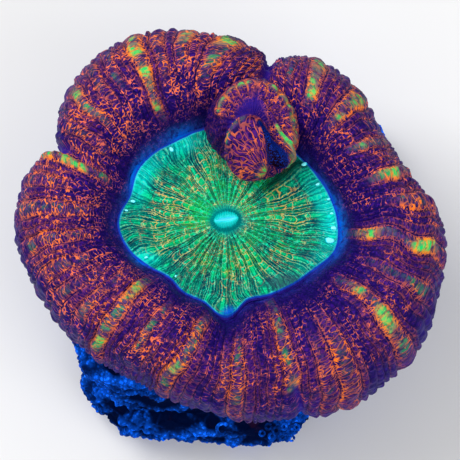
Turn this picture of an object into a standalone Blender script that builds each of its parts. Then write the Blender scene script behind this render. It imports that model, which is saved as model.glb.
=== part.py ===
"""Acan coral: one large fleshy polyp with a bud, on its stony cup and a lump of rubble rock.

Run it with: blender --background --python part.py

The object stands on the flat cut underside of the rock, with +Z up and -Y at the front. Every
length below is in millimetres, and each mesh is scaled to metres as it is finished. Directions
round the polyp are measured at the mouth, anticlockwise from +X.
"""

import math

import bmesh
import bpy
from mathutils import Vector, noise

TO_METRES = 0.001
TURN = 2 * math.pi

# Plan: where the mouth stands in the frame, and outlines round it every 15 degrees from +X.
MOUTH_X, MOUTH_Y = -0.20, 0.355
MANTLE_EDGE = (
    16.6, 14.6, 13.8, 14.6, 14.5, 14.2, 14.5, 15.6, 16.3, 16.2, 15.4, 15.7,
    16.2, 15.6, 14.9, 14.3, 13.7, 14.0, 14.7, 15.4, 16.6, 17.2, 17.5, 17.0,
)
DISC_EDGE = (
    8.3, 7.9, 7.5, 7.3, 7.1, 7.0, 7.0, 7.1, 7.1, 7.4, 7.6, 7.4,
    8.0, 7.6, 6.7, 6.0, 6.2, 6.3, 7.2, 6.1, 6.4, 6.8, 7.4, 8.4,
)
CUP_RIM_EDGE = (
    12.9, 12.2, 11.9, 12.2, 12.0, 11.9, 12.1, 12.8, 13.3, 13.1, 12.6, 12.8,
    13.2, 13.8, 14.2, 15.3, 14.4, 12.9, 12.6, 12.9, 13.3, 13.5, 13.7, 13.3,
)
CUP_FOOT_EDGE = (
    9.4, 9.8, 11.6, 11.9, 10.2, 8.6, 8.2, 8.8, 9.4, 9.7, 9.4, 9.8,
    11.0, 12.4, 13.2, 14.8, 15.2, 14.3, 14.0, 13.8, 12.4, 10.8, 9.8, 9.2,
)
ROCK_EDGE = (
    10.8, 11.6, 14.8, 15.6, 12.6, 10.2, 9.4, 9.8, 10.8, 11.0, 10.6, 11.2,
    12.0, 13.0, 13.9, 15.9, 16.7, 15.8, 15.6, 16.1, 14.6, 12.2, 11.0, 10.6,
)

# Heights above the cut underside.
SEAM_HEIGHT = 5.2
SEAM_DOME = 0.9
CUP_ROOF = 12.2
FLESH_FOOT = 10.2
FLESH_HOLLOW = 12.6
EDGE_HEIGHT = 13.5
DISC_MARGIN = 15.9
DISC_TROUGH = 15.5
MOUTH_FOOT = 16.2
MOUTH_LIP = 16.9
CREST_HEIGHT = 19.8

# Flesh: the fat folded ring round the disc.
LOBES = 32
LOBE_RELIEF = 0.30
CREST_SKEW = 0.07
INNER_TURN, UNDER_TURN = math.radians(166), math.radians(-62)
CREST_WAVE = (
    0.1, -0.3, -0.2, 0.3, 0.2, -0.9, -0.2, 0.4, 0.5, 0.3, -0.4, -0.3,
    0.3, 0.1, -0.2, 0.1, 0.4, 0.2, -0.1, -0.3, 0.2, 0.5, 0.4, 0.3,
)
FOLDS = ((75, 7, 1.3, 0.7), (155, 6, 1.2, 0.8), (291, 4, 0.5, 0.2))  # direction, half width, drop, pull in
MOUTH_RADIUS = 1.05
PLUG_SHARE = 0.36  # how far under the ring the stony plug reaches, from the disc's margin outwards
FLESH_GAP = 0.3

# Bud: a round lobe that grows from the ring and leans over the disc.
BUD_CENTRE = (1.95, 6.60, 17.3)
BUD_RADII = (3.55, 4.05, 4.1)
BUD_PIT = (3.8, 4.9, 0.75, 1.3, 2.4)  # centre x and y, half width, half length, depth

# Stone: the seam between cup and rock, and the flesh's lower hem, rise and fall round the polyp as
# (height, waves to a turn, start angle); the sides wander in and out as (reach, bumps to a millimetre).
SEAM_WAVES = ((0.75, 1, 2.4), (0.45, 3, 0.6), (0.25, 7, 1.1))
HEM_WAVES = ((0.40, 2, 0.7), (0.25, 5, 1.9), (0.12, 11, 0.4))
CUP_BUMPS = ((0.40, 0.38), (0.22, 0.85))
ROCK_BUMPS = ((0.80, 0.30), (0.45, 0.75))
CUP_RIBS = 32
RIB_RELIEF = 0.20
STONE_GAP = 0.3

FLESH_COLUMNS = 3 * LOBES
RING_STEPS = 12
CUP_COLUMNS = 96
ROCK_COLUMNS = 72


def clear_scene():
    """Removes whatever the file holds, so that only this model is in it."""
    for old in list(bpy.data.objects):
        bpy.data.objects.remove(old)


def round_value(values, direction):
    """Reads a list given at equal steps round the polyp, as a smooth curve through its values."""
    place = (direction % TURN) / TURN * len(values)
    step = int(place)
    t = place - step
    before, here, ahead, beyond = (values[(step + k) % len(values)] for k in (-1, 0, 1, 2))
    bend = 2 * before - 5 * here + 4 * ahead - beyond
    turn = 3 * (here - ahead) + beyond - before
    return here + 0.5 * t * (ahead - before + t * (bend + t * turn))


def fold_depth(direction, column):
    """How far the folds of the ring reach here: column 2 of FOLDS is the drop, column 3 the pull inwards."""
    depth = 0.0
    for fold in FOLDS:
        away = math.degrees(direction) - fold[0]
        away = (away + 180) % 360 - 180
        depth += fold[column] * math.exp(-((away / fold[1]) ** 2))
    return depth


def waves(kinds, direction):
    """A height that rises and falls smoothly on the way round."""
    return sum(height * math.sin(count * direction + start) for height, count, start in kinds)


def material(name, colour, roughness):
    """A plain surface of one colour."""
    made = bpy.data.materials.new(name)
    made.use_nodes = True
    surface = made.node_tree.nodes["Principled BSDF"]
    surface.inputs["Base Color"].default_value = (*colour, 1)
    surface.inputs["Roughness"].default_value = roughness
    surface.inputs["Metallic"].default_value = 0.0
    return made


def finish_mesh(name, shape, surface):
    """Turns a bmesh in millimetres round the mouth into an object of the scene, in metres."""
    bmesh.ops.translate(shape, vec=(MOUTH_X, MOUTH_Y, 0), verts=shape.verts)
    bmesh.ops.scale(shape, vec=(TO_METRES,) * 3, verts=shape.verts)
    bmesh.ops.triangulate(shape, faces=shape.faces)
    mesh = bpy.data.meshes.new(name)
    shape.to_mesh(mesh)
    shape.free()
    mesh.materials.append(surface)
    mesh.shade_smooth()
    mesh.set_sharp_from_angle(angle=math.radians(50))
    made = bpy.data.objects.new(name, mesh)
    bpy.context.scene.collection.objects.link(made)
    return made


def turned_body(columns, section):
    """A closed body from a ball: section(direction) lists (radius, height) from its top to its underside."""
    levels = len(section(0.0)) - 1
    shape = bmesh.new()
    bmesh.ops.create_uvsphere(shape, u_segments=columns, v_segments=levels, radius=1)
    sections = {}
    for vert in shape.verts:
        level = round(math.acos(max(-1.0, min(1.0, vert.co.z))) * levels / math.pi)
        column = round(math.atan2(vert.co.y, vert.co.x) / TURN * columns) % columns
        direction = column / columns * TURN
        if column not in sections:
            sections[column] = section(direction)
        radius, height = sections[column][level]
        vert.co = (radius * math.cos(direction), radius * math.sin(direction), height)
    return shape


def flesh_section(direction):
    """The polyp's flesh from the mouth, over the disc and the fat ring, to the hollow under it."""
    margin = round_value(DISC_EDGE, direction)
    edge = round_value(MANTLE_EDGE, direction) - fold_depth(direction, 3)
    span = edge - margin
    rise = CREST_HEIGHT + round_value(CREST_WAVE, direction) - fold_depth(direction, 2) - EDGE_HEIGHT
    hem = FLESH_FOOT + waves(HEM_WAVES, direction)
    drop = EDGE_HEIGHT - hem
    lobe = LOBE_RELIEF * math.cos(direction * LOBES)
    lips = [
        (0.0, MOUTH_LIP - 0.4),
        (0.45 * MOUTH_RADIUS, MOUTH_LIP),
        (MOUTH_RADIUS, MOUTH_LIP - 0.15),
        (1.5 * MOUTH_RADIUS, MOUTH_FOOT),
    ]
    dish = [
        (0.42 * margin, 0.5 * (MOUTH_FOOT + DISC_TROUGH)),
        (0.68 * margin, DISC_TROUGH),
        (0.90 * margin, 0.5 * (DISC_TROUGH + DISC_MARGIN)),
    ]
    ring = []
    for step in range(RING_STEPS + 1):
        turn = INNER_TURN + (UNDER_TURN - INNER_TURN) * step / RING_STEPS
        out = 0.5 * (1 + math.cos(turn)) + CREST_SKEW * math.sin(turn) ** 2
        swell = lobe * max(0.0, math.sin(0.5 * (math.pi - turn))) ** 2
        up = (rise if turn > 0 else drop) * math.sin(turn)
        radius = margin + span * out + swell * math.cos(turn)
        ring.append((radius, EDGE_HEIGHT + up + swell * max(0.0, math.sin(turn))))
    hollow = cup_plug(direction) + FLESH_GAP
    underside = [
        (hollow + 0.5, hem + 0.3),
        (hollow, hem + 0.7),
        (hollow, FLESH_HOLLOW - 0.5),
        (hollow - 0.7, FLESH_HOLLOW),
        (0.5 * hollow, FLESH_HOLLOW),
        (0.0, FLESH_HOLLOW),
    ]
    return lips + dish + ring + underside


def cup_plug(direction):
    """Radius of the part of the stony cup that stands inside the flesh."""
    margin = round_value(DISC_EDGE, direction)
    edge = round_value(MANTLE_EDGE, direction)
    return margin + PLUG_SHARE * (edge - margin)


def bumps(radius, direction, height, kinds):
    """How far the stone stands out here: smooth noise of several sizes, the same on every run."""
    place = Vector((radius * math.cos(direction), radius * math.sin(direction), 1.5 * height))
    return sum(reach * noise.noise(fineness * place) for reach, fineness in kinds)


def seam(share, direction):
    """Height of the seam between cup and rock: wavy at its edge, where share is 1, and domed inside."""
    return SEAM_HEIGHT + SEAM_DOME * (1 - share**2) + share**2 * waves(SEAM_WAVES, direction)


def cup_section(direction):
    """The stony cup: a plug under the flesh, then ribbed sides that narrow down to the rock."""
    plug = cup_plug(direction)
    hem = FLESH_FOOT + waves(HEM_WAVES, direction)
    calyx = [
        (0.0, CUP_ROOF - 0.9),
        (0.35 * plug, CUP_ROOF - 0.7),
        (0.80 * plug, CUP_ROOF),
        (plug - 0.6, CUP_ROOF),
        (plug, CUP_ROOF - 0.6),
        (plug, hem + 0.1),
    ]
    rib = RIB_RELIEF * math.cos(direction * CUP_RIBS)
    rim = max(plug + 0.9, round_value(CUP_RIM_EDGE, direction))
    foot = round_value(CUP_FOOT_EDGE, direction)
    top, base = hem - 0.5, seam(1.0, direction)
    wall = []
    for share, set_back in ((0.0, 0.7), (0.07, 0.05), (0.3, 0.0), (0.55, 0.15), (0.8, 0.1), (0.97, 0.2)):
        radius = rim + (foot - rim) * share - set_back
        height = top + (base - top) * share
        wall.append((radius + rib + bumps(radius, direction, height, CUP_BUMPS), height))
    underside = [(inner * foot, seam(inner, direction)) for inner in (0.92, 0.6, 0.3, 0.0)]
    return calyx + wall + underside


def rock_section(direction):
    """The lump of rubble: its top fits under the cup, its sides are rough, its underside is cut flat."""
    edge = round_value(ROCK_EDGE, direction)
    foot = round_value(CUP_FOOT_EDGE, direction)
    seat = [(inner * foot, seam(inner, direction) - STONE_GAP) for inner in (0.0, 0.3, 0.6, 0.9)]
    top = seam(1.0, direction) - 2 * STONE_GAP
    sides = []
    for share, height in (
        (0.95, top),
        (0.99, 0.78 * top),
        (1.0, 0.56 * top),
        (0.98, 0.34 * top),
        (0.93, 0.13 * top),
        (0.88, 0.0),
    ):
        radius = share * edge
        sides.append((radius + bumps(radius, direction, height, ROCK_BUMPS), height))
    cut_face = [(0.45 * edge, 0.0), (0.0, 0.0)]
    return seat + sides + cut_face


def make_polyp(flesh):
    """The soft body: mouth, green disc and the folded ring round it, grown as one."""
    return finish_mesh("polyp", turned_body(FLESH_COLUMNS, flesh_section), flesh)


def make_clearance():
    """A cutter that is the polyp grown by the gap its bud keeps from it."""
    shape = turned_body(FLESH_COLUMNS, flesh_section)
    shape.normal_update()
    outward = {vert: vert.normal.copy() for vert in shape.verts}
    for vert, normal in outward.items():
        vert.co += FLESH_GAP * normal
    cutter = finish_mesh("polyp_clearance", shape, None)
    cutter.hide_render = True
    cutter.display_type = "WIRE"
    return cutter


def make_bud(flesh, clearance):
    """The young lobe: a leaning ball with an open pit, cut where it sits on the polyp."""
    shape = bmesh.new()
    bmesh.ops.create_uvsphere(shape, u_segments=28, v_segments=18, radius=1)
    bmesh.ops.scale(shape, vec=BUD_RADII, verts=shape.verts)
    bmesh.ops.translate(shape, vec=BUD_CENTRE, verts=shape.verts)
    pit_x, pit_y, half_width, half_length, depth = BUD_PIT
    for vert in shape.verts:
        if vert.co.z < BUD_CENTRE[2]:
            continue
        across = (vert.co.x - pit_x) / half_width
        along = (vert.co.y - pit_y) / half_length
        vert.co.z -= depth * math.exp(-(across**2) - along**2)
    bud = finish_mesh("bud", shape, flesh)
    cut = bud.modifiers.new("cut_by_polyp", "BOOLEAN")
    cut.operation = "DIFFERENCE"
    cut.object = clearance
    return bud


def make_cup(stone):
    """The coral's own stony cup, ribbed round its skirt."""
    return finish_mesh("skeleton_cup", turned_body(CUP_COLUMNS, cup_section), stone)


def make_rock(stone):
    """The loose lump that the cup grew on."""
    return finish_mesh("rubble_rock", turned_body(ROCK_COLUMNS, rock_section), stone)


def main():
    clear_scene()
    flesh = material("flesh", (0.16, 0.03, 0.20), 0.35)
    stone = material("stone", (0.01, 0.05, 0.38), 0.85)
    rubble = material("rubble", (0.01, 0.04, 0.28), 0.9)
    make_polyp(flesh)
    make_bud(flesh, make_clearance())
    make_cup(stone)
    make_rock(rubble)


main()
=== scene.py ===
"""Looks of an acan coral: one fleshy polyp with a bud, on its stony cup and a lump of rubble.

The file is laid out as an add-on and run as a script. Shapes are worked out in millimetres round
the mouth, with directions anticlockwise from +X, and finish_piece() puts them in place in metres.
"""

import math
import random

import bmesh
import bpy
from bpy.props import FloatProperty, FloatVectorProperty, PointerProperty
from mathutils import Matrix, Vector, noise


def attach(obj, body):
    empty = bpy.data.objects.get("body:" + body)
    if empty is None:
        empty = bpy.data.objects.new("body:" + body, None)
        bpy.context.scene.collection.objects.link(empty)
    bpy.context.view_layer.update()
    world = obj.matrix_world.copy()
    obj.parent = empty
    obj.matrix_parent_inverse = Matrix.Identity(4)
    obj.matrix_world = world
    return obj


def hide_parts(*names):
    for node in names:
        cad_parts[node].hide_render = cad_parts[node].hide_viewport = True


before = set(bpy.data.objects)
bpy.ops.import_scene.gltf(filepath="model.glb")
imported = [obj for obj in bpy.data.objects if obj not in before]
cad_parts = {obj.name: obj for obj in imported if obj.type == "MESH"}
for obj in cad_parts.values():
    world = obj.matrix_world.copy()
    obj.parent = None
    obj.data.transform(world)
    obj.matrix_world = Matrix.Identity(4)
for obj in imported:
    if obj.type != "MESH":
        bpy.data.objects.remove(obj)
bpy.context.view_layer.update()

bl_info = {
    "name": "Acan coral",
    "version": (1, 0, 0),
    "blender": (4, 5, 0),
    "location": "3D View > Sidebar > Coral",
    "description": "Builds the flesh, disc, bud, stony cup and rubble rock of an acan coral",
    "category": "Add Mesh",
}

def srgb(red, green, blue):
    """A colour as screens write it, 0 to 255 each, as the linear values that shaders take."""
    def linear(value):
        value /= 255
        return value / 12.92 if value <= 0.04045 else ((value + 0.055) / 1.055) ** 2.4
    return (linear(red), linear(green), linear(blue))


MM = 0.001
TURN = 2 * math.pi
MOUTH_X, MOUTH_Y = -0.20, 0.355

# Outlines round the mouth, every 15 degrees from +X, in millimetres.
MANTLE_EDGE = (
    16.6, 14.6, 13.8, 14.6, 14.5, 14.2, 14.5, 15.6, 16.3, 16.2, 15.4, 15.7,
    16.2, 15.6, 14.9, 14.3, 13.7, 14.0, 14.7, 15.4, 16.6, 17.2, 17.5, 17.0,
)
DISC_EDGE = (
    8.3, 7.9, 7.5, 7.3, 7.1, 7.0, 7.0, 7.1, 7.1, 7.4, 7.6, 7.4,
    8.0, 7.6, 6.7, 6.0, 6.2, 6.3, 7.2, 6.1, 6.4, 6.8, 7.4, 8.4,
)
CREST_WAVE = (
    0.1, -0.3, -0.2, 0.3, 0.2, -0.9, -0.2, 0.4, 0.5, 0.3, -0.4, -0.3,
    0.3, 0.1, -0.2, 0.1, 0.4, 0.2, -0.1, -0.3, 0.2, 0.5, 0.4, 0.3,
)
CUP_RIM_EDGE = (
    12.9, 12.2, 11.9, 12.2, 12.0, 11.9, 12.1, 12.8, 13.3, 13.1, 12.6, 12.8,
    13.2, 13.8, 14.2, 15.3, 14.4, 12.9, 12.6, 12.9, 13.3, 13.5, 13.7, 13.3,
)
CUP_FOOT_EDGE = (
    9.4, 9.8, 11.6, 11.9, 10.2, 8.6, 8.2, 8.8, 9.4, 9.7, 9.4, 9.8,
    11.0, 12.4, 13.2, 14.8, 15.2, 14.3, 14.0, 13.8, 12.4, 10.8, 9.8, 9.2,
)
ROCK_EDGE = (
    10.8, 11.6, 14.8, 15.6, 12.6, 10.2, 9.4, 9.8, 10.8, 11.0, 10.6, 11.2,
    12.0, 13.0, 13.9, 15.9, 16.7, 15.8, 15.6, 16.1, 14.6, 12.2, 11.0, 10.6,
)

# What the camera looks at, in millimetres round the mouth.
AIM = (0.30, -1.24, 19.0)

# How far a ridge of the ring swings round, in degrees, on its way from the disc to the outer edge.
RIDGE_SWING = (
    0, 3, -3, 9, 11, -4, -22, -12, -7, -6, -5, -5,
    0, 3, 7, 8, -4, -12, -5, -7, -11, -11, -8, -4,
)

# Heights above the cut underside, in millimetres.
SEAM_HEIGHT, SEAM_DOME = 5.2, 0.9
CUP_ROOF = 12.2
FLESH_FOOT, FLESH_HOLLOW = 10.2, 12.6
EDGE_HEIGHT, CREST_HEIGHT = 13.5, 19.8
DISC_TROUGH, DISC_MARGIN = 15.5, 15.9
DISC_BRIM = 1.07           # how far the disc reaches past its margin, as a share
DISC_FOLD = 38             # direction of the disc's fold under the bud
MOUTH_FOOT = 16.2
SEAM_WAVES = ((0.75, 1, 2.4), (0.45, 3, 0.6), (0.25, 7, 1.1))
HEM_WAVES = ((0.40, 2, 0.7), (0.25, 5, 1.9), (0.12, 11, 0.4))

# The ring's section runs from under the disc's margin, over the crest, to the hem.
INNER_TURN, UNDER_TURN = math.radians(172), math.radians(-64)
CREST_SKEW = 0.07

# Broad folds: direction, half width in degrees, drop and pull in. Sharp creases: direction, half
# width, share of the way out where they start and end, and depth.
FOLDS = ((75, 7, 1.3, 0.7), (155, 6, 1.2, 0.8), (291, 4, 0.5, 0.2))
CREASES = ((75, 1.6, 0.30, 1.2, 0.8), (156, 1.5, 0.75, 1.2, 0.8), (291.5, 0.8, 0.78, 1.2, 0.4))

# Where blue rim light is painted on the hem, as blue as a crease: direction, half width in degrees,
# and strength.
BLUE_RIM_LIGHT = (167, 15, 0.85)

# Where the flesh has fewer lines: direction, half width in degrees, and how many are missing.
CALM_FLESH = ((343, 26, 0.62), (45, 22, 0.45), (312, 22, 0.60), (272, 26, 0.45))

# Coloured ridges: direction, width in degrees, share of the way out where they start and end,
# orange and green strength from 0 to 1.
STRIPES = (
    (4, 6.0, 0.50, 0.98, 0.9, 0.25),
    (13.3, 5.0, 0.42, 1.0, 0.6, 1.0),
    (26.9, 5.0, 0.42, 1.0, 0.7, 0.8),
    (41, 7.0, 0.38, 0.95, 0.9, 0.7),
    (55, 6.5, 0.40, 1.0, 0.9, 1.0),
    (64.8, 3.2, 0.45, 0.9, 0.6, 0.4),
    (96, 8.0, 0.38, 1.0, 1.0, 1.0),
    (106.2, 4.8, 0.50, 0.95, 0.7, 0.6),
    (113.3, 4.4, 0.40, 0.95, 0.8, 0.3),
    (120, 6.2, 0.20, 0.98, 1.0, 1.0),
    (129, 4.2, 0.50, 0.95, 0.5, 0.4),
    (135, 4.2, 0.45, 0.9, 0.7, 0.3),
    (142.5, 5.0, 0.42, 0.9, 0.7, 0.7),
    (151, 4.2, 0.35, 0.8, 0.5, 0.3),
    (161.4, 5.2, 0.25, 0.92, 1.0, 1.0),
    (170, 4.4, 0.50, 0.98, 0.8, 0.3),
    (178.7, 5.6, 0.30, 0.95, 0.8, 0.3),
    (188.9, 5.2, 0.30, 0.90, 0.9, 0.3),
    (198, 5.0, 0.40, 0.85, 0.6, 0.4),
    (205, 4.2, 0.35, 0.8, 0.5, 0.3),
    (212.7, 4.8, 0.20, 0.8, 0.7, 0.6),
    (222.2, 6.0, 0.15, 0.98, 1.0, 0.8),
    (237.4, 4.6, 0.22, 0.75, 0.7, 0.5),
    (254.8, 6.2, 0.18, 1.05, 1.0, 0.6),
    (269.6, 3.6, 0.35, 0.8, 0.5, 0.2),
    (274.8, 5.2, 0.28, 1.1, 0.9, 0.3),
    (293.6, 6.0, 0.10, 0.78, 0.9, 0.6),
    (304, 4.2, 0.45, 1.0, 0.7, 0.2),
    (309.8, 5.8, 0.35, 1.1, 1.0, 0.3),
    (327.4, 6.4, 0.25, 1.0, 0.85, 0.7),
    (340, 4.6, 0.32, 0.9, 0.55, 0.45),
    (351.6, 6.0, 0.12, 0.98, 0.9, 1.0),
)
PLAIN_RIDGE = 2.4          # usual width of the ridges between the stripes, in degrees
FLOW_RADIUS = 12.5         # where the unrolled flesh has its true width
COLUMNS_PER_RIDGE = 7
RING_ROWS = 118
PLUG_SHARE = 0.36          # how far across the ring the stony plug reaches
PEBBLES_PER_MM, PEBBLE_RELIEF = 2.5, 0.16

# The disc: pairs of a wide row of cells and a narrow row of plain spokes.
DISC_PAIRS = 36
COLUMNS_PER_ROW = 8
DISC_LEVELS, DISC_HIDDEN_LEVELS = 84, 6
LIP_COLUMNS, LIP_FLUTES, LIP_LEAN = 120, 30, 8
CELL_GROWTH = 0.15         # each cell's length as a share of its distance from the mouth
DISC_RAYS = 84             # fine rays of the net between the rows

# Films over the disc: place round the mouth, stretch each way per millimetre, strength and colour.
DISC_FILMS = (
    ((4.7, -4.75, 0), (0.50, 1.10, 0), 0.70, srgb(44, 62, 86)),
    ((0.25, -7.5, 0), (1.1, 0.9, 0), 0.85, srgb(6, 88, 210)),
)

# The bud, seen from above: its ball, the beaded arch, the flap, the inner bulb and the pit.
BUD_COLUMNS, BUD_LEVELS = 360, 200
BUD_CENTRE, BUD_RADII, BUD_CUT = (1.95, 6.80, 17.3), (3.62, 3.95, 3.95), (226, 32, 0.19)
ARCH_CENTRE, ARCH_RADII, ARCH_BEAD = (2.15, 6.30), (2.75, 3.40), 0.92
ARCH_FIRST, ARCH_LAST, ARCH_REACH = -45, 168, 3.1
BUD_FLAP = ((2.75, 8.3), (3.3, 7.4), (3.85, 6.45), (4.5, 5.4), (4.7, 4.6), (4.4, 3.9))
BULB_CENTRE, BULB_RADII, BULB_FAN = (1.70, 4.87), (1.90, 2.45), (3.1, 3.3)
BULB_STREAKS = 8.5         # streaks on the bulb, to each radian of the fan
BULB_CELL, BULB_PATCH, BUD_LIP = 1.0, (2.72, 3.45), ((3.5, 2.95), (4.2, 3.1), (4.9, 3.8))
PIT_LINE, PIT_DEPTH = ((2.50, 6.65), (3.25, 5.45), (3.72, 4.40)), 1.8

# Directions where a highlight is painted on the disc's margin and the flesh beside it, and half
# widths of the highlight in degrees.
DISC_GLEAMS = ((2, 22), (150, 16), (118, 10), (205, 5))

# Clear tentacle tips on the disc's margin: direction, radius as a share of the margin, size.
TENTACLE_TIPS = (
    (127, 0.98, 0.18), (168, 0.99, 0.15), (174, 1.0, 0.11), (205, 0.98, 0.12), (228, 1.0, 0.15),
    (22, 1.0, 0.15), (4, 1.0, 0.12), (349, 0.97, 0.30), (356, 1.0, 0.20), (36, 1.01, 0.24),
    (12, 1.02, 0.12),
)

# Deep hollows under the flesh: direction, height, half width in degrees, half height and depth.
STONE_HOLLOWS = (
    (243, 8.2, 5, 0.9, 2.2), (250, 6.0, 7, 0.6, 1.8), (262, 7.0, 6, 0.8, 1.6), (279, 5.6, 4, 1.0, 1.6),
)

# The direction where the stone shows below the flesh, and how much closer its columns stand there.
STONE_FRONT, CROWDING = 245, 0.5
STONE_COLUMNS, STONE_LEVELS = 700, 138
SHELVES = (238, 9)         # where the stone lies in shelves: direction, half width in degrees

# Crusts on the rock's front, as x, y, height and radius round the mouth.
TUBE_PLACE = (-0.29, -14.75, 6.3)
CRUST_RINGS = (
    (3.3, -14.5, 5.7, 0.22), (3.9, -14.8, 5.6, 0.27), (4.5, -14.5, 5.7, 0.24), (5.05, -14.9, 5.4, 0.26),
    (5.5, -14.5, 5.4, 0.22), (3.6, -15.2, 5.2, 0.25), (4.4, -15.2, 5.1, 0.28), (5.1, -15.3, 4.9, 0.22),
    (4.15, -14.3, 5.8, 0.20), (2.8, -15.0, 5.5, 0.21),
)


def colour_property(name, description, default):
    """A colour that the user can change."""
    return FloatVectorProperty(
        name=name, description=description, default=default, size=3, min=0, max=1, subtype="COLOR"
    )


def length_property(name, description, default):
    """A length that the user can change, kept in metres."""
    return FloatProperty(name=name, description=description, default=default, min=0, unit="LENGTH")


class CoralSizes(bpy.types.PropertyGroup):
    """Sizes of the relief that the pieces carry."""

    ridge_relief: length_property("Ridge relief", "How far a plain ridge stands out", 0.00018)
    stripe_relief: length_property("Stripe relief", "How far a coloured ridge stands out", 0.00042)
    bead_length: length_property("Bead length", "Length of the beads along a ridge", 0.00062)
    flesh_swell: length_property("Flesh swell", "How far the ring swells and sinks unevenly", 0.00022)
    septum_relief: length_property("Septum relief", "How far the disc's spokes stand up", 0.00007)
    stone_relief: length_property("Stone relief", "How rough the cup and the rock are", 0.00055)


class CoralColours(bpy.types.PropertyGroup):
    """Colours of the flesh and the stone."""

    groove: colour_property("Groove", "Flesh between the ridges", srgb(16, 8, 74))
    plum: colour_property("Plum", "Flesh on the ridges", srgb(52, 16, 122))
    # Painted shade on the inner slope of the ring beside the disc.
    slope_shade: colour_property("Dusk", "Smooth flesh next to the disc", srgb(30, 12, 96))
    # Rim is also the colour of the painted blue rim light on the hem.
    rim: colour_property("Rim", "Blue-violet flesh in the creases and towards the hem", srgb(52, 28, 140))
    # Lagoon is painted blue glow from the disc's margin, on the flesh beside it and on the disc's brim.
    lagoon: colour_property("Lagoon", "Flesh that touches the disc", srgb(26, 78, 205))
    orange: colour_property("Orange", "Bars of the coloured ridges", srgb(255, 126, 38))
    coral: colour_property("Coral", "Net lines of the plain flesh", srgb(240, 110, 92))
    amber: colour_property("Amber", "Bars beside the green beads", srgb(255, 156, 26))
    rose: colour_property("Rose", "Flesh of a coloured ridge", srgb(132, 46, 88))
    bead_green: colour_property("Bead green", "Tops of the strongest beads", srgb(20, 205, 100))
    bead_grey: colour_property("Bead grey", "Tops of the paler beads", srgb(92, 112, 104))
    disc_green: colour_property("Disc green", "Inner cells of the disc", srgb(0, 152, 92))
    disc_bright: colour_property("Disc bright", "Middles of the disc's cells", srgb(6, 204, 122))
    disc_sea: colour_property("Disc sea", "Darker patches of the disc", srgb(0, 118, 98))
    disc_aqua: colour_property("Disc aqua", "Outer part of the disc", srgb(0, 142, 128))
    disc_teal: colour_property("Disc teal", "Spokes of the disc", srgb(0, 36, 68))
    disc_deep: colour_property("Disc deep", "Disc round the mouth", srgb(4, 134, 140))
    disc_gold: colour_property("Disc gold", "Wavy lines of the disc", srgb(255, 190, 92))
    cyan: colour_property("Cyan", "The disc's rim", srgb(50, 190, 220))
    stone: colour_property("Stone", "Raised parts of the cup and the rock", srgb(10, 102, 255))
    # Hollow is painted shade in the sunken parts of the cup and the rock.
    hollow: colour_property("Hollow", "Sunken parts of the cup and the rock", srgb(0, 6, 34))


class StageSettings(bpy.types.PropertyGroup):
    """Camera, light and floor."""

    elevation: FloatProperty(
        name="Elevation", description="Camera height above the horizon", default=math.radians(80),
        subtype="ANGLE",
    )
    distance: length_property("Distance", "From the camera to the middle of the picture", 0.300)
    lens: FloatProperty(name="Lens", description="Focal length in millimetres", default=311.4, min=10)
    sky: FloatProperty(name="Sky", description="Strength of the light from all round", default=0.62)
    key: FloatProperty(name="Key", description="Power of the main softbox in watts", default=1.3)
    fill: FloatProperty(name="Fill", description="Power of the second softbox in watts", default=0.5)


# Shaping helpers.


def round_value(values, direction):
    """Reads a list given at equal steps round the mouth, as a smooth curve through its values."""
    place = (direction % TURN) / TURN * len(values)
    step = int(place)
    t = place - step
    before, here, ahead, beyond = (values[(step + k) % len(values)] for k in (-1, 0, 1, 2))
    bend = 2 * before - 5 * here + 4 * ahead - beyond
    turn = 3 * (here - ahead) + beyond - before
    return here + 0.5 * t * (ahead - before + t * (bend + t * turn))


def smooth_step(value, low, high):
    """0 below low, 1 above high, and an even S between them."""
    t = max(0.0, min(1.0, (value - low) / (high - low)))
    return t * t * (3 - 2 * t)


def degrees_away(direction, centre):
    """How far a direction in radians is from a centre in degrees, from -180 to 180."""
    return (math.degrees(direction) - centre + 180) % 360 - 180


def around(radius, direction):
    """The x and y of a place at a radius and a direction."""
    return radius * math.cos(direction), radius * math.sin(direction)


def bell(value, half_width):
    """1 at 0, falling off evenly on both sides."""
    return math.exp(-((value / half_width) ** 2))


def near(direction, centre, half_width):
    """1 in the direction of a centre in degrees, falling off evenly on both sides."""
    return bell(degrees_away(direction, centre), half_width)


def waves(kinds, direction):
    """A height that rises and falls smoothly on the way round."""
    return sum(height * math.sin(count * direction + start) for height, count, start in kinds)


def fold_depth(direction, column):
    """How far the folds of the ring reach here: column 2 of FOLDS is the drop, column 3 the pull in."""
    return sum(fold[column] * near(direction, fold[0], fold[1]) for fold in FOLDS)


def crease_depth(direction, share):
    """How deep the sharp creases of the ring are here, and how much of the way into one this is."""
    depth = nearness = 0.0
    for centre, half_width, start, end, reach in CREASES:
        along = smooth_step(share, start - 0.08, start + 0.08) * (1 - smooth_step(share, end, end + 0.1))
        inside = along * near(direction, centre, half_width)
        depth += reach * inside
        nearness = max(nearness, inside)
    return depth, nearness


def gleam_round(direction):
    """How strongly the painted highlight on the disc's margin shows in a direction."""
    return max(near(direction, centre, half_width) for centre, half_width in DISC_GLEAMS)


def near_line(points, x, y):
    """Distance from a place to a bent line, and the length along the line up to the nearest point."""
    best, best_along, length = 1e9, 0.0, 0.0
    for (ax, ay), (bx, by) in zip(points, points[1:]):
        run_x, run_y = bx - ax, by - ay
        run = math.hypot(run_x, run_y)
        t = max(0.0, min(1.0, ((x - ax) * run_x + (y - ay) * run_y) / run**2))
        away = math.hypot(x - ax - t * run_x, y - ay - t * run_y)
        if away < best:
            best, best_along = away, length + t * run
        length += run
    return best, best_along


def pillow(place, power):
    """The swell of a bead or a ridge across its width: place runs from 0 to 1, the top is in the middle."""
    return 1 - abs(2 * (place % 1) - 1) ** power


def add_layers(shape, numbers):
    """Layers that keep the named numbers, and the place on the unrolled flesh, on each vertex."""
    layers = {name: shape.verts.layers.float.new(name) for name in numbers}
    layers["flow"] = shape.verts.layers.float_vector.new("flow")
    return layers


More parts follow.
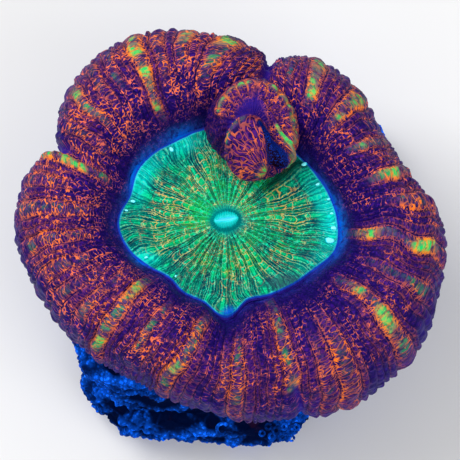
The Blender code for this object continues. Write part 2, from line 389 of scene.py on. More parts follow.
def shaped_grid(columns, rows, place, numbers):
    """A closed body rolled from a grid: place(column, row) gives a point and its layer values."""
    shape = bmesh.new()
    bmesh.ops.create_grid(shape, x_segments=columns, y_segments=rows, size=1)
    layers = add_layers(shape, numbers)
    for vert in shape.verts:
        column = round((vert.co.x + 1) / 2 * columns)
        row = round((vert.co.y + 1) / 2 * rows)
        vert.co, values = place(column % columns, row)
        for name, value in values.items():
            vert[layers[name]] = value
    bmesh.ops.remove_doubles(shape, verts=shape.verts, dist=1e-5)
    bmesh.ops.recalc_face_normals(shape, faces=shape.faces)
    return shape


def raise_skin(shape):
    """Moves each vertex out along the smooth surface by its stored relief."""
    shape.normal_update()
    relief = shape.verts.layers.float["relief"]
    moved = [(vert, vert.co + vert[relief] * vert.normal) for vert in shape.verts]
    for vert, target in moved:
        vert.co = target


def finish_piece(name, shape, material, replaced=()):
    """Puts a bmesh in millimetres round the mouth in its place, as a piece that rides on the root."""
    bmesh.ops.translate(shape, vec=(MOUTH_X, MOUTH_Y, 0), verts=shape.verts)
    bmesh.ops.scale(shape, vec=(MM, MM, MM), verts=shape.verts)
    mesh = bpy.data.meshes.new(name)
    shape.to_mesh(mesh)
    shape.free()
    mesh.materials.append(material)
    mesh.shade_smooth()
    piece = bpy.data.objects.new(name, mesh)
    bpy.context.scene.collection.objects.link(piece)
    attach(piece, "root")
    if replaced:
        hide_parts(*replaced)
    return piece


# The ring.

FLESH_NUMBERS = ("relief", "ridge", "beat", "stripe", "green", "net", "share", "crease", "gleam", "calm")


class Ridge:
    """One ridge of the ring, from its first to its last direction in degrees."""

    def __init__(self, first, last, start, end, orange, green, draw):
        self.first, self.last = first, last
        self.start, self.end = start, end
        self.orange, self.green = orange, green
        self.offset = draw.random()
        self.pace = draw.uniform(0.82, 1.22)
        self.height = draw.uniform(0.8, 1.2)


def make_ridges():
    """All ridges in order round the ring: the coloured ones, and plain ones that fill the gaps."""
    draw = random.Random(11)
    ridges = []
    for number, (middle, width, start, end, orange, green) in enumerate(STRIPES):
        first, last = middle - width / 2, middle + width / 2
        ahead = STRIPES[(number + 1) % len(STRIPES)]
        next_first = ahead[0] - ahead[1] / 2 + (360 if number + 1 == len(STRIPES) else 0)
        gap = next_first - last
        count = round(gap / PLAIN_RIDGE)
        if count < 1:
            last, count = next_first, 0
        ridges.append(Ridge(first, last, start, end, orange, green, draw))
        steps = [draw.uniform(0.55, 1.45) for _ in range(count)]
        place = last
        for step in steps:
            width = gap * step / sum(steps)
            faint = draw.uniform(0.0, 0.34)
            begin = draw.uniform(0.3, 0.6)
            end = draw.uniform(0.8, 1.1)
            ridges.append(Ridge(place, place + width, begin, end, faint, 0.3 * faint, draw))
            place += width
    for ridge, *beside in zip(ridges, ridges[-1:] + ridges[:-1], ridges[1:] + ridges[:1]):
        brightest = max(beside, key=lambda other: other.orange)
        if ridge.orange < 0.5 <= brightest.orange:
            ridge.start, ridge.end = brightest.start + 0.08, brightest.end
            ridge.orange = 0.45 * brightest.orange
    return ridges


def ring_point(direction, turn):
    """The smooth ring's (radius, height) at a direction and a turn of its section."""
    margin = round_value(DISC_EDGE, direction)
    edge = round_value(MANTLE_EDGE, direction) - fold_depth(direction, 3)
    rise = CREST_HEIGHT + round_value(CREST_WAVE, direction) - fold_depth(direction, 2) - EDGE_HEIGHT
    drop = EDGE_HEIGHT - FLESH_FOOT - waves(HEM_WAVES, direction)
    out = 0.5 * (1 + math.cos(turn)) + CREST_SKEW * math.sin(turn) ** 2
    height = EDGE_HEIGHT + (rise if turn > 0 else drop) * math.sin(turn)
    return margin + (edge - margin) * out, height


def ring_underside(direction):
    """The ring's hidden side, from the hem in to the stony plug and up under the disc."""
    margin = round_value(DISC_EDGE, direction)
    plug = margin + PLUG_SHARE * (round_value(MANTLE_EDGE, direction) - margin) + 0.08
    hem = FLESH_FOOT + waves(HEM_WAVES, direction)
    return (
        (plug + 0.5, hem + 0.25),
        (plug, hem + 0.7),
        (plug, FLESH_HOLLOW - 0.5),
        (plug - 0.7, FLESH_HOLLOW),
        (margin - 0.9, FLESH_HOLLOW + 0.5),
        (margin - 0.5, EDGE_HEIGHT + 0.1),
    )


def pebbles(flow):
    """Small knobs all over the flesh: how far one stands out at a place on the unrolled flesh."""
    nearest = noise.voronoi(PEBBLES_PER_MM * flow)[0][0]
    return PEBBLE_RELIEF * (0.45 - nearest)


def make_mantle(sizes, material):
    """The fat folded ring: beaded ridges that run from the disc over the crest to the hem."""
    ridges = make_ridges()
    columns = len(ridges) * COLUMNS_PER_RIDGE
    hidden = len(ring_underside(0.0))
    rows = RING_ROWS + hidden
    plain, tall = sizes.ridge_relief / MM, sizes.stripe_relief / MM
    bead, swell = sizes.bead_length / MM, sizes.flesh_swell / MM
    walked = {}

    def place(column, row):
        row %= rows
        ridge = ridges[column // COLUMNS_PER_RIDGE]
        across = column % COLUMNS_PER_RIDGE / COLUMNS_PER_RIDGE
        middle = math.radians(ridge.first + (ridge.last - ridge.first) * across)
        unrolled = around(FLOW_RADIUS, middle)
        if row >= RING_ROWS:
            radius, height = ring_underside(middle)[row - RING_ROWS]
            return (*around(radius, middle), height), {"share": 2.0, "flow": (*unrolled, -radius)}
        turn = INNER_TURN + (UNDER_TURN - INNER_TURN) * row / (RING_ROWS - 1)
        share = 0.5 * (1 + math.cos(turn))
        swing = math.radians(round_value(RIDGE_SWING, middle)) * (share - 0.5)
        sway = 0.03 * noise.noise((*around(5, middle), 0.07 * row))
        direction = middle + swing + sway
        radius, height = ring_point(direction, turn)
        reach = share if turn > 0 else 2 - share
        start = (0.0, ridge.offset, radius, height)
        before = walked.get(column, start) if row else start
        step = math.hypot(radius - before[2], height - before[3])
        along = before[0] + step
        strand = 40 * ridge.offset
        stretch = 1 + 1.2 * smooth_step(reach, 0.86, 1.1) + 0.6 * noise.noise((strand, 0.7 * along, 0.0))
        beat = before[1] + step / (bead * ridge.pace * stretch)
        walked[column] = (along, beat, radius, height)

        flow = Vector((*unrolled, along))
        top = pillow(across, 2.4)
        lump = 0.65 + 0.8 * noise.noise((strand, 0.9 * beat, 2.0))
        beat += 0.28 * (1 - top) + 0.45 * noise.noise(1.1 * flow)
        knob = pillow(beat, 2.2)
        coloured = smooth_step(reach, ridge.start - 0.12, ridge.start + 0.1)
        coloured *= 1 - smooth_step(reach, ridge.end - 0.06, ridge.end + 0.08)
        coloured *= min(1.0, 0.85 + 0.7 * noise.noise((strand, 0.55 * along, 8.0)))
        stripe = ridge.orange * coloured
        greenness = ridge.green * coloured * (1 - smooth_step(reach, 0.84, 1.0))
        lift = ridge.height * (plain + (tall - plain) * min(1.0, stripe * 1.2))
        lift *= 0.30 + 0.70 * smooth_step(reach, 0.02, 0.32)
        lift *= 1 - 0.9 * smooth_step(reach, 1.6, 1.8)
        lift *= 1 - 0.45 * (1 - stripe) * (1 - smooth_step(reach, 0.7, 1.0))
        crease, nearness = crease_depth(direction, reach)
        # Painted blue rim light on the hem, carried in the crease value.
        blue = BLUE_RIM_LIGHT[2] * near(direction, *BLUE_RIM_LIGHT[:2]) * smooth_step(reach, 0.94, 1.06)
        spot = Vector((*around(radius, direction), height))
        uneven = swell * (noise.noise(0.45 * spot) + 0.5 * noise.noise(1.1 * spot))
        uneven += pebbles(flow) * smooth_step(reach, 0.05, 0.3)
        values = {
            "relief": lift * (top * (1 - 0.5 * lump * (1 - knob)) - 0.45) + uneven - crease,
            "ridge": top,
            "beat": beat,
            "stripe": stripe,
            "green": greenness * min(1.0, 0.8 + 0.9 * noise.noise((strand, 0.8 * along, 5.0))),
            "net": 0.45 * stripe,
            "share": reach,
            "crease": max(nearness, blue),
            "gleam": gleam_round(direction),
            "calm": max(missing * near(direction, *span) for *span, missing in CALM_FLESH),
            "flow": flow,
        }
        return spot, values

    shape = shaped_grid(columns, rows, place, FLESH_NUMBERS)
    raise_skin(shape)
    return finish_piece("mantle", shape, material, ("polyp",))


# The disc, the lips and the tips.

DISC_NUMBERS = ("share", "tent", "beat", "celled", "gold", "crease", "gleam")


def disc_height(share):
    """Height of the dish at a share of the way from the mouth to the margin."""
    dip = smooth_step(share, 0.16, 0.7)
    lift = smooth_step(share, 0.7, 1.0)
    return MOUTH_FOOT - (MOUTH_FOOT - DISC_TROUGH) * dip + (DISC_MARGIN - DISC_TROUGH) * lift


class DiscRow:
    """One row of the disc between two spokes: of rounded cells, or plain."""

    def __init__(self, first, last, celled, draw):
        self.first, self.last, self.celled = first, last, celled
        self.offset = draw.random()
        self.pace = draw.uniform(0.8, 1.25)
        self.gold = draw.uniform(0.6, 1.0)


def make_disc_rows():
    """All rows in order round the disc, with uneven widths that add up to a full turn."""
    draw = random.Random(5)
    widths = []
    for _ in range(DISC_PAIRS):
        widths += [6.4 * draw.uniform(0.45, 1.6), 3.6 * draw.uniform(0.6, 1.4)]
    fit = 360 / sum(widths)
    rows, first = [], 0.0
    for number, width in enumerate(widths):
        rows.append(DiscRow(first, first + fit * width, number % 2 == 0, draw))
        first += fit * width
    return rows


def make_disc(sizes, material):
    """The oral disc: a shallow dish with spokes, rows of blistered cells and a thin raised margin."""
    relief = sizes.septum_relief / MM
    disc_rows = make_disc_rows()
    columns = len(disc_rows) * COLUMNS_PER_ROW

    def place(column, level):
        row = disc_rows[column // COLUMNS_PER_ROW]
        across = column % COLUMNS_PER_ROW / COLUMNS_PER_ROW
        direction = math.radians(row.first + (row.last - row.first) * across)
        if level > DISC_LEVELS:
            share = DISC_BRIM * (1 - (level - DISC_LEVELS) / DISC_HIDDEN_LEVELS)
            radius = round_value(DISC_EDGE, direction) * share
            height = DISC_MARGIN - 0.5 - 0.4 * smooth_step(1 - share, 0.0, 0.3)
            point = (*around(radius, direction), height)
            return point, {"share": 1.1, "flow": point}
        share = DISC_BRIM * level / DISC_LEVELS
        bend = 0.09 * noise.noise((*around(4, direction), 4 * share))
        direction += bend * smooth_step(share, 0.2, 0.6)
        radius = round_value(DISC_EDGE, direction) * share
        x, y = around(radius, direction)
        height = disc_height(share)
        height += 0.14 * bell(share - 1.0, 0.03) - 0.10 * smooth_step(share, 1.01, DISC_BRIM)
        height += 0.10 * smooth_step(share, 0.3, 0.9) * math.sin(9 * direction + 1.3 + 2.5 * share)
        height += 0.08 * noise.noise((0.9 * x, 0.9 * y, 3.0)) * smooth_step(share, 0.1, 0.4)
        fold = near(direction, DISC_FOLD, 4.5) * smooth_step(share, 0.40, 0.60)
        height += 0.75 * fold * (1 - smooth_step(share, 0.93, 1.0))
        gleam = gleam_round(direction) * smooth_step(share, 0.80, 0.97)
        tent = 1 - abs(2 * across - 1)
        beat = row.offset + math.log(max(radius, 0.2)) / (CELL_GROWTH * row.pace)
        beat += 0.25 * (1 - tent) + 0.5 * noise.noise((1.4 * x, 1.4 * y, 7.0))
        shown = smooth_step(share, 0.15, 0.35)
        if row.celled:
            height += relief * shown * (2.2 * pillow(across, 2.5) * pillow(beat, 2.5) - 0.8)
        else:
            height += relief * shown * 0.8 * math.cos(2 * TURN * across)
        values = {
            "share": share, "tent": tent, "beat": beat, "celled": float(row.celled), "gold": row.gold,
            "crease": fold, "gleam": gleam, "flow": (x, y, height),
        }
        return (x, y, height), values

    shape = shaped_grid(columns, DISC_LEVELS + DISC_HIDDEN_LEVELS, place, DISC_NUMBERS)
    return finish_piece("oral_disc", shape, material, ("polyp",))


def make_lips(material):
    """The raised mouth: an oval lip round a narrow slit."""
    profile = (
        (0.0, -0.10), (0.12, -0.09), (0.24, -0.05), (0.36, 0.03), (0.48, 0.10), (0.60, 0.12), (0.72, 0.10),
        (0.86, 0.04), (1.0, -0.06), (1.14, -0.18), (1.30, -0.36), (1.38, -0.50), (0.8, -0.62), (0.0, -0.62),
    )
    lean = math.radians(LIP_LEAN)

    def place(column, level):
        direction = TURN * column / LIP_COLUMNS
        radius, height = profile[level]
        open_up = smooth_step(radius, 0.25, 1.1)
        fluted = math.sin(LIP_FLUTES * direction)
        ripple = 1 + 0.02 * fluted * smooth_step(radius, 0.3, 0.9)
        x = radius * ripple * (1.9 - 1.02 * open_up) * math.cos(direction)
        y = radius * ripple * (0.30 + 0.33 * open_up) * math.sin(direction)
        height += MOUTH_FOOT + 0.40 + 0.03 * fluted * smooth_step(radius, 0.3, 0.9)
        point = (x * math.cos(lean) - y * math.sin(lean), x * math.sin(lean) + y * math.cos(lean), height)
        return point, {"share": radius / profile[-3][0], "flow": point}

    shape = shaped_grid(LIP_COLUMNS, len(profile) - 1, place, ("share",))
    bmesh.ops.subdivide_edges(shape, edges=shape.edges, cuts=1, use_grid_fill=True, smooth=1.0)
    return finish_piece("mouth_lips", shape, material)


def make_tips(material):
    """The clear tips of the tentacles that stand on the disc's margin."""
    shape = bmesh.new()
    layer = shape.verts.layers.float.new("share")
    for degrees, share, size in TENTACLE_TIPS:
        direction = math.radians(degrees)
        radius = share * round_value(DISC_EDGE, direction)
        made = bmesh.ops.create_uvsphere(shape, u_segments=20, v_segments=12, radius=1)["verts"]
        for vert in made:
            # Share runs from a tip's underside to its top, where the painted highlight lies.
            vert[layer] = 0.5 * (vert.co.z + 1)
            swell = 1 + 0.25 * noise.noise(1.3 * vert.co + Vector((degrees, 0, 0)))
            out, side, up = vert.co * swell * size
            out *= 1.25
            side *= 0.75
            x = (radius - 0.15 + out) * math.cos(direction) - side * math.sin(direction)
            y = (radius - 0.15 + out) * math.sin(direction) + side * math.cos(direction)
            vert.co = (x, y, DISC_MARGIN + 0.12 + 0.9 * up)
    return finish_piece("tentacle_tips", shape, material)


# The bud.


def in_oval(x, y, centre, radii):
    """0 at the centre of an oval, 1 at its edge; and the direction from its centre."""
    across, up = (x - centre[0]) / radii[0], (y - centre[1]) / radii[1]
    return math.hypot(across, up), math.atan2(up, across)


def make_bud(material):
    """The young lobe: a beaded arch round a valley, a netted bulb and a dark pit with a flap."""

    def place(column, level):
        direction = TURN * column / BUD_COLUMNS
        tilt = math.pi * level / BUD_LEVELS
        flat = math.sin(tilt) * (1 - BUD_CUT[2] * near(direction, *BUD_CUT[:2]))
        unit = Vector((*around(flat, direction), math.cos(tilt)))
        spot = Vector(c + r * u for c, r, u in zip(BUD_CENTRE, BUD_RADII, unit))
        x, y = spot.x, spot.y
        upper = smooth_step(unit.z, -0.05, 0.25)
        girth, heading = in_oval(x, y, ARCH_CENTRE, ARCH_RADII)
        heading = math.degrees(heading)
        arched = smooth_step(heading, ARCH_FIRST, ARCH_FIRST + 18)
        arched *= 1 - smooth_step(heading, ARCH_LAST - 12, ARCH_LAST)
        arched *= 1 - 0.6 * bell(heading - 86, 9)
        arch_away = ARCH_REACH * (girth - 1)
        arch = bell(arch_away, 0.52) * arched * upper
        beads = math.radians(heading) * ARCH_REACH / ARCH_BEAD + 0.3 * noise.noise(1.2 * spot)
        bulb_away, bulb_turn = in_oval(x, y, BULB_CENTRE, BULB_RADII)
        bulb = smooth_step(1.0 - bulb_away, 0.0, 0.35)
        on_bulb = (1 - smooth_step(bulb_away, 0.92, 1.05)) * upper
        pit_away, pit_along = near_line(PIT_LINE, x, y)
        pit_wide = 0.16 + 0.62 * smooth_step(pit_along, 0.2, 2.7)
        pit = (1 - smooth_step(pit_away / pit_wide, 0.65, 1.15)) * upper
        flap_away, flap_along = near_line(BUD_FLAP, x, y)
        flap = bell(flap_away, 0.22) * upper
        spokes = math.cos(34 * direction + 2 * noise.noise(0.8 * spot))
        valley = (1 - smooth_step(girth, 0.80, 0.92)) * (1 - on_bulb) * upper
        inner = 0.60 - 0.22 * smooth_step(x, 2.5, 3.4)
        band = smooth_step(girth + 0.12 * noise.noise(1.1 * spot), inner, inner + 0.14)
        band = band * (1 - on_bulb) * arched * upper
        band *= 1 - smooth_step(girth, 0.90, 1.0)
        bare = valley * (1 - band)
        outside = smooth_step(girth, 1.10, 1.28)
        outside = max(outside, (1 - on_bulb) * (1 - arched) * smooth_step(2.2 - x, 0.0, 1.0))
        turned = math.degrees(bulb_turn) % 360
        cell_edge = bell(bulb_away - 0.82, 0.18) * on_bulb
        cell_edge *= smooth_step(turned, 75, 100) * (1 - smooth_step(turned, 165, 195))
        fan_x, fan_y = x - BULB_FAN[0], y - BULB_FAN[1]
        fan = math.atan2(fan_y, fan_x) % TURN
        streaks = BULB_STREAKS * fan + 0.7 * noise.noise(1.5 * spot)
        patch = bell(math.hypot(x - BULB_PATCH[0], y - BULB_PATCH[1]), 0.5) * upper
        lip = bell(near_line(BUD_LIP, x, y)[0], 0.22) * upper

        relief = 0.46 * arch * (0.55 + 0.45 * pillow(beads, 2.0))
        relief += upper * (0.50 * bulb - 0.34 * bell(bulb_away - 1.14, 0.14) * (1 - lip)) - 0.30 * valley
        relief += 0.34 * flap
        relief += 0.12 * cell_edge * pillow(bulb_turn * 2 / BULB_CELL, 2.0)
        relief += 0.04 * spokes * (1 - bulb) * (1 - arch) * (1 - band)
        relief += 0.07 * band * pillow(3 * beads, 2.0) + 0.06 * on_bulb * pillow(streaks, 2.0)
        relief += 0.08 * noise.noise(0.9 * spot) + 0.6 * (1 - valley) * pebbles(spot)
        out = Vector(u / r for u, r in zip(unit, BUD_RADII)).normalized()
        spot = spot + relief * out
        spot.z -= PIT_DEPTH * pit

        in_pit = pit > 0.05
        flow = 1.15 * spot
        if on_bulb > 0.5 and not in_pit:
            flow = Vector((2.1 * fan, 0.55 * math.hypot(fan_x, fan_y), 0.0))
        elif flap_away < 0.8 and valley < 0.5 and not in_pit:
            flow = Vector((1.6 * flap_away, 0.5 * flap_along, 8.0))
        strips = ((arch, beads), (flap, 0.5), (cell_edge, bulb_turn * 2 / BULB_CELL), (patch, 0.5))
        strongest, beat = max(strips)
        faint = strongest <= 0.15
        if outside > 0.5:
            beat = 20 * girth + noise.noise(1.5 * spot)
        elif faint and on_bulb > 0.5:
            beat = streaks
        elif faint and band > 0.2:
            beat = 3 * beads + 0.5 * noise.noise(2.0 * spot)
        elif faint:
            beat = 0.5
        meshed = max(0.34 * on_bulb, 0.5 * arch, 0.4 * flap)
        if in_pit:
            meshed = smooth_step(x + y, 8.0, 9.6)
        barred = bell(arch_away, 0.50) * arched * upper
        greens = (
            0.66 * bell(arch_away, 0.28) * arched * upper, 0.4 * cell_edge, patch,
            bell(flap_away, 0.16) * smooth_step(flap_along, 1.4, 2.4) * upper,
        )
        values = {
            "ridge": max(strongest, 0.14 + 0.10 * spokes * (1 - on_bulb) + 0.60 * max(on_bulb, band)),
            "beat": beat,
            "stripe": max(barred, 0.5 * flap, 0.54 * on_bulb, 0.30 * band, 0.25 * outside),
            "green": max(greens),
            "net": meshed,
            "share": 0.66 - 0.50 * max(outside, bare) - 0.64 * lip + 0.3 * outside * lip,
            "crease": 0.7 * bare * smooth_step(2.9 - x + 0.8 * noise.noise(1.2 * spot), -0.9, 0.6),
            "calm": max(0.6 * bare, 0.75 * outside),
            "pit": pit,
            "flow": flow,
        }
        return spot, values

    shape = shaped_grid(BUD_COLUMNS, BUD_LEVELS, place, ("pit", *FLESH_NUMBERS[1:]))
    return finish_piece("bud_lobe", shape, material, ("bud",))


# The stone.


def stone_relief(spot, height, direction):
    """Limy stone: round lumps with knobs and curled crests on them, and sunken holes."""
    nearest = noise.voronoi(0.62 * spot)[0][0]
    knob = 0.5 - noise.voronoi(1.5 * spot)[0][0]
    grain = 0.45 - noise.voronoi(2.9 * spot)[0][0]
    curl = math.sin(15 * noise.noise(0.55 * spot) + 5 * nearest)
    hole = smooth_step(noise.noise(0.5 * spot + Vector((9, 0, 0))), 0.22, 0.5)
    hollow = sum(
        depth * near(direction, middle, wide) * bell(height - level, tall)
        for middle, level, wide, tall, depth in STONE_HOLLOWS
    )
    return 0.9 * (0.55 - nearest) + 0.5 * knob + 0.42 * grain + 0.16 * curl - 0.9 * hole - hollow


def seam(share, direction):
    """Height of the seam between cup and rock: wavy at its edge, where share is 1, and domed inside."""
    return SEAM_HEIGHT + SEAM_DOME * (1 - share**2) + share**2 * waves(SEAM_WAVES, direction)


def rounded_path(points, steps):
    """Points along a bent line, close together where it is far from the axis and can be seen."""
    farthest = max(radius for radius, _ in points)
    lengths = [0.0]
    for (ax, ay), (bx, by) in zip(points, points[1:]):
        weight = ((ax + bx) / 2 / farthest) ** 2
        lengths.append(lengths[-1] + weight * math.hypot(bx - ax, by - ay))
    path = []
    for step in range(steps + 1):
        goal = lengths[-1] * step / steps
        piece = max(k for k in range(len(points) - 1) if lengths[k] <= goal + 1e-9)
        t = (goal - lengths[piece]) / (lengths[piece + 1] - lengths[piece])
        (ax, ay), (bx, by) = points[piece], points[piece + 1]
        path.append((ax + t * (bx - ax), ay + t * (by - ay)))
    return path


def make_stone(node, outline, relief, plates, material):
    """A rough stone body: outline(direction) lists (radius, height) from its top to its underside."""
    paths = {}

    def place(column, level):
        turn = TURN * column / STONE_COLUMNS
        direction = turn - CROWDING * math.sin(turn - math.radians(STONE_FRONT))
        if direction not in paths:
            paths[direction] = rounded_path(outline(direction), STONE_LEVELS)
        radius, height = paths[direction][level]
        spot = Vector((*around(radius, direction), height))
        side = smooth_step(height, 0.05, 0.5)
        layer = plates * near(direction, *SHELVES)
        shelf = pillow(1.3 * height + 0.8 * noise.noise(0.5 * spot), 1.6) - 0.5
        bumps = relief * stone_relief(spot, height, direction)
        values = {"relief": side * (bumps + layer * shelf), "flow": spot}
        return spot, values

    shape = shaped_grid(STONE_COLUMNS, STONE_LEVELS, place, ("relief",))
    raise_skin(shape)
    for vert in shape.verts:
        vert.co.z = max(vert.co.z, 0.0)
    return finish_piece(node + "_skin", shape, material, (node,))


def cup_outline(direction):
    """The cup's section: the plug under the flesh, the wall, and the foot that sits on the rock."""
    margin = round_value(DISC_EDGE, direction)
    plug = margin + PLUG_SHARE * (round_value(MANTLE_EDGE, direction) - margin)
    hem = FLESH_FOOT + waves(HEM_WAVES, direction)
    rim = max(plug + 0.9, round_value(CUP_RIM_EDGE, direction))
    foot = round_value(CUP_FOOT_EDGE, direction)
    rib = 0.16 * math.cos(32 * direction)
    base = seam(1.0, direction) - 0.1
    return (
        (0.0, CUP_ROOF - 0.9), (0.8 * plug, CUP_ROOF - 0.5), (plug - 0.5, CUP_ROOF - 0.5),
        (plug, CUP_ROOF - 1.0), (plug, hem + 0.4), (rim - 0.8, hem + 0.1), (rim + rib, hem - 0.4),
        (0.6 * rim + 0.4 * foot + rib, 0.6 * hem + 0.4 * base), (foot + rib, base + 0.4),
        (foot - 0.3, base), (0.5 * foot, seam(0.5, direction) - 0.1), (0.0, seam(0.0, direction) - 0.1),
    )


def rock_outline(direction):
    """The rock's section: its seat under the cup, rough sides and the flat cut underside."""
    edge = round_value(ROCK_EDGE, direction)
    foot = round_value(CUP_FOOT_EDGE, direction)
    top = seam(1.0, direction)
    return (
        (0.0, seam(0.0, direction) - 0.3), (0.5 * foot, seam(0.5, direction) - 0.3),
        (0.86 * foot, seam(0.9, direction) - 0.3), (0.95 * edge, top - 0.6), (1.0 * edge, 0.6 * top),
        (0.97 * edge, 0.3 * top), (0.9 * edge, 0.1 * top), (0.87 * edge, 0.0), (0.0, 0.0),
    )


def make_crusts(material):
    """Small life on the rock's front: a coiled worm tube and a crust of low rings."""
    shape = bmesh.new()
    layers = add_layers(shape, ("relief",))
    draw = random.Random(4)

    def ring(x, y, z, radius, thick, sweep, tilt, heading):
        made = bmesh.ops.create_circle(shape, cap_ends=False, segments=12, radius=thick)["verts"]
        bmesh.ops.rotate(shape, verts=made, cent=(0, 0, 0), matrix=turn_matrix(90, "X"))
        bmesh.ops.translate(shape, verts=made, vec=(radius, 0, 0))
        edges = list({edge for vert in made for edge in vert.link_edges})
        steps = max(12, round(28 * sweep))
        spun = bmesh.ops.spin(
            shape, geom=made + edges, cent=(0, 0, 0), axis=(0, 0, 1), angle=TURN * sweep, steps=steps,
            use_merge=False, use_duplicate=False,
        )["geom_last"]
        ends = (edges, [item for item in spun if isinstance(item, bmesh.types.BMEdge)])
        for loop in ends:
            bmesh.ops.contextual_create(shape, geom=loop)
        band = flood(made)
        matrix = turn_matrix(heading, "Z") @ turn_matrix(tilt, "X")
        bmesh.ops.rotate(shape, verts=band, cent=(0, 0, 0), matrix=matrix)
        bmesh.ops.translate(shape, verts=band, vec=(x, y, z))
        for vert in band:
            vert.co += 0.16 * thick * noise.noise_vector(2.2 * vert.co)

    ring(*TUBE_PLACE, 0.44, 0.14, 0.78, 24, 40)
    for x, y, z, radius in CRUST_RINGS:
        ring(x, y, z, radius, 0.42 * radius, 0.93, draw.uniform(-25, 40), draw.uniform(0, 360))
    bmesh.ops.recalc_face_normals(shape, faces=shape.faces)
    for vert in shape.verts:
        vert[layers["flow"]] = vert.co
        vert[layers["relief"]] = 0.15
    return finish_piece("rock_crusts", shape, material)


def flood(verts):
    """All vertices joined to these by edges."""
    found, queue = set(verts), list(verts)
    while queue:
        for edge in queue.pop().link_edges:
            for vert in edge.verts:
                if vert not in found:
                    found.add(vert)
                    queue.append(vert)
    return list(found)


def turn_matrix(degrees, axis):
    """A rotation about an axis."""
    return Matrix.Rotation(math.radians(degrees), 3, axis)


# Materials.

# Plain numbers that all shaders share.
COAT_ROUGHNESS, SPECULAR_LEVEL, BUMP_STRENGTH = 0.25, 0.02, 0.6

# Colours of small details: on the flesh, in the bud's pit, on the disc and on the stone.
# GLEAM_BLUE is a painted highlight in blue on the flesh beside the disc's margin.
SHADED_LINE, GLEAM_BLUE = srgb(112, 52, 132), srgb(0, 120, 230)
# The skirt colours paint shade on the outer side of the ring, which has few lines.
SKIRT, SKIRT_CLOUD, SKIRT_LINE = srgb(12, 4, 76), srgb(38, 18, 126), srgb(96, 50, 120)
# The pit's dark red-brown is painted shade; its specks and edge are the flesh's own blue.
PIT_SHADE, PIT_SPECK, PIT_EDGE = srgb(40, 14, 36), srgb(24, 76, 205), srgb(24, 40, 150)
CELL_PURE, CELL_THREAD, CELL_GLEAM = srgb(0, 182, 78), srgb(20, 230, 182), srgb(0, 224, 214)
# The fold's dark green is the bud's painted shadow on the disc.
BUD_SHADOW_GREEN, RIM_GLEAM = srgb(0, 62, 48), srgb(0, 240, 230)
# The brim's violet and blue are painted glow, laid over the shade of the crevice under the disc's margin.
BRIM_VIOLET, BRIM_BLUE = srgb(42, 26, 128), srgb(0, 110, 225)
# The pale stone colour is a painted highlight, and the dark red-violet one is painted shadow in the deepest
# hollows, such as under the flesh.
STONE_HIGHLIGHT, STONE_DEEP_SHADOW = srgb(44, 135, 255), srgb(26, 10, 34)

# Bands of the clear flesh: the share where each starts to give way, and its colour.
LIP_BANDS = (
    (0.18, srgb(90, 212, 246)), (0.30, srgb(24, 216, 218)), (0.62, srgb(4, 192, 188)),
    (0.92, srgb(0, 130, 132)),
)
# The tips' bands run from their underside to their top, and the pale top band is a painted highlight.
TIP_BANDS = ((0.35, srgb(0, 120, 190)), (0.66, srgb(0, 196, 222)), (0.90, srgb(130, 246, 250)))


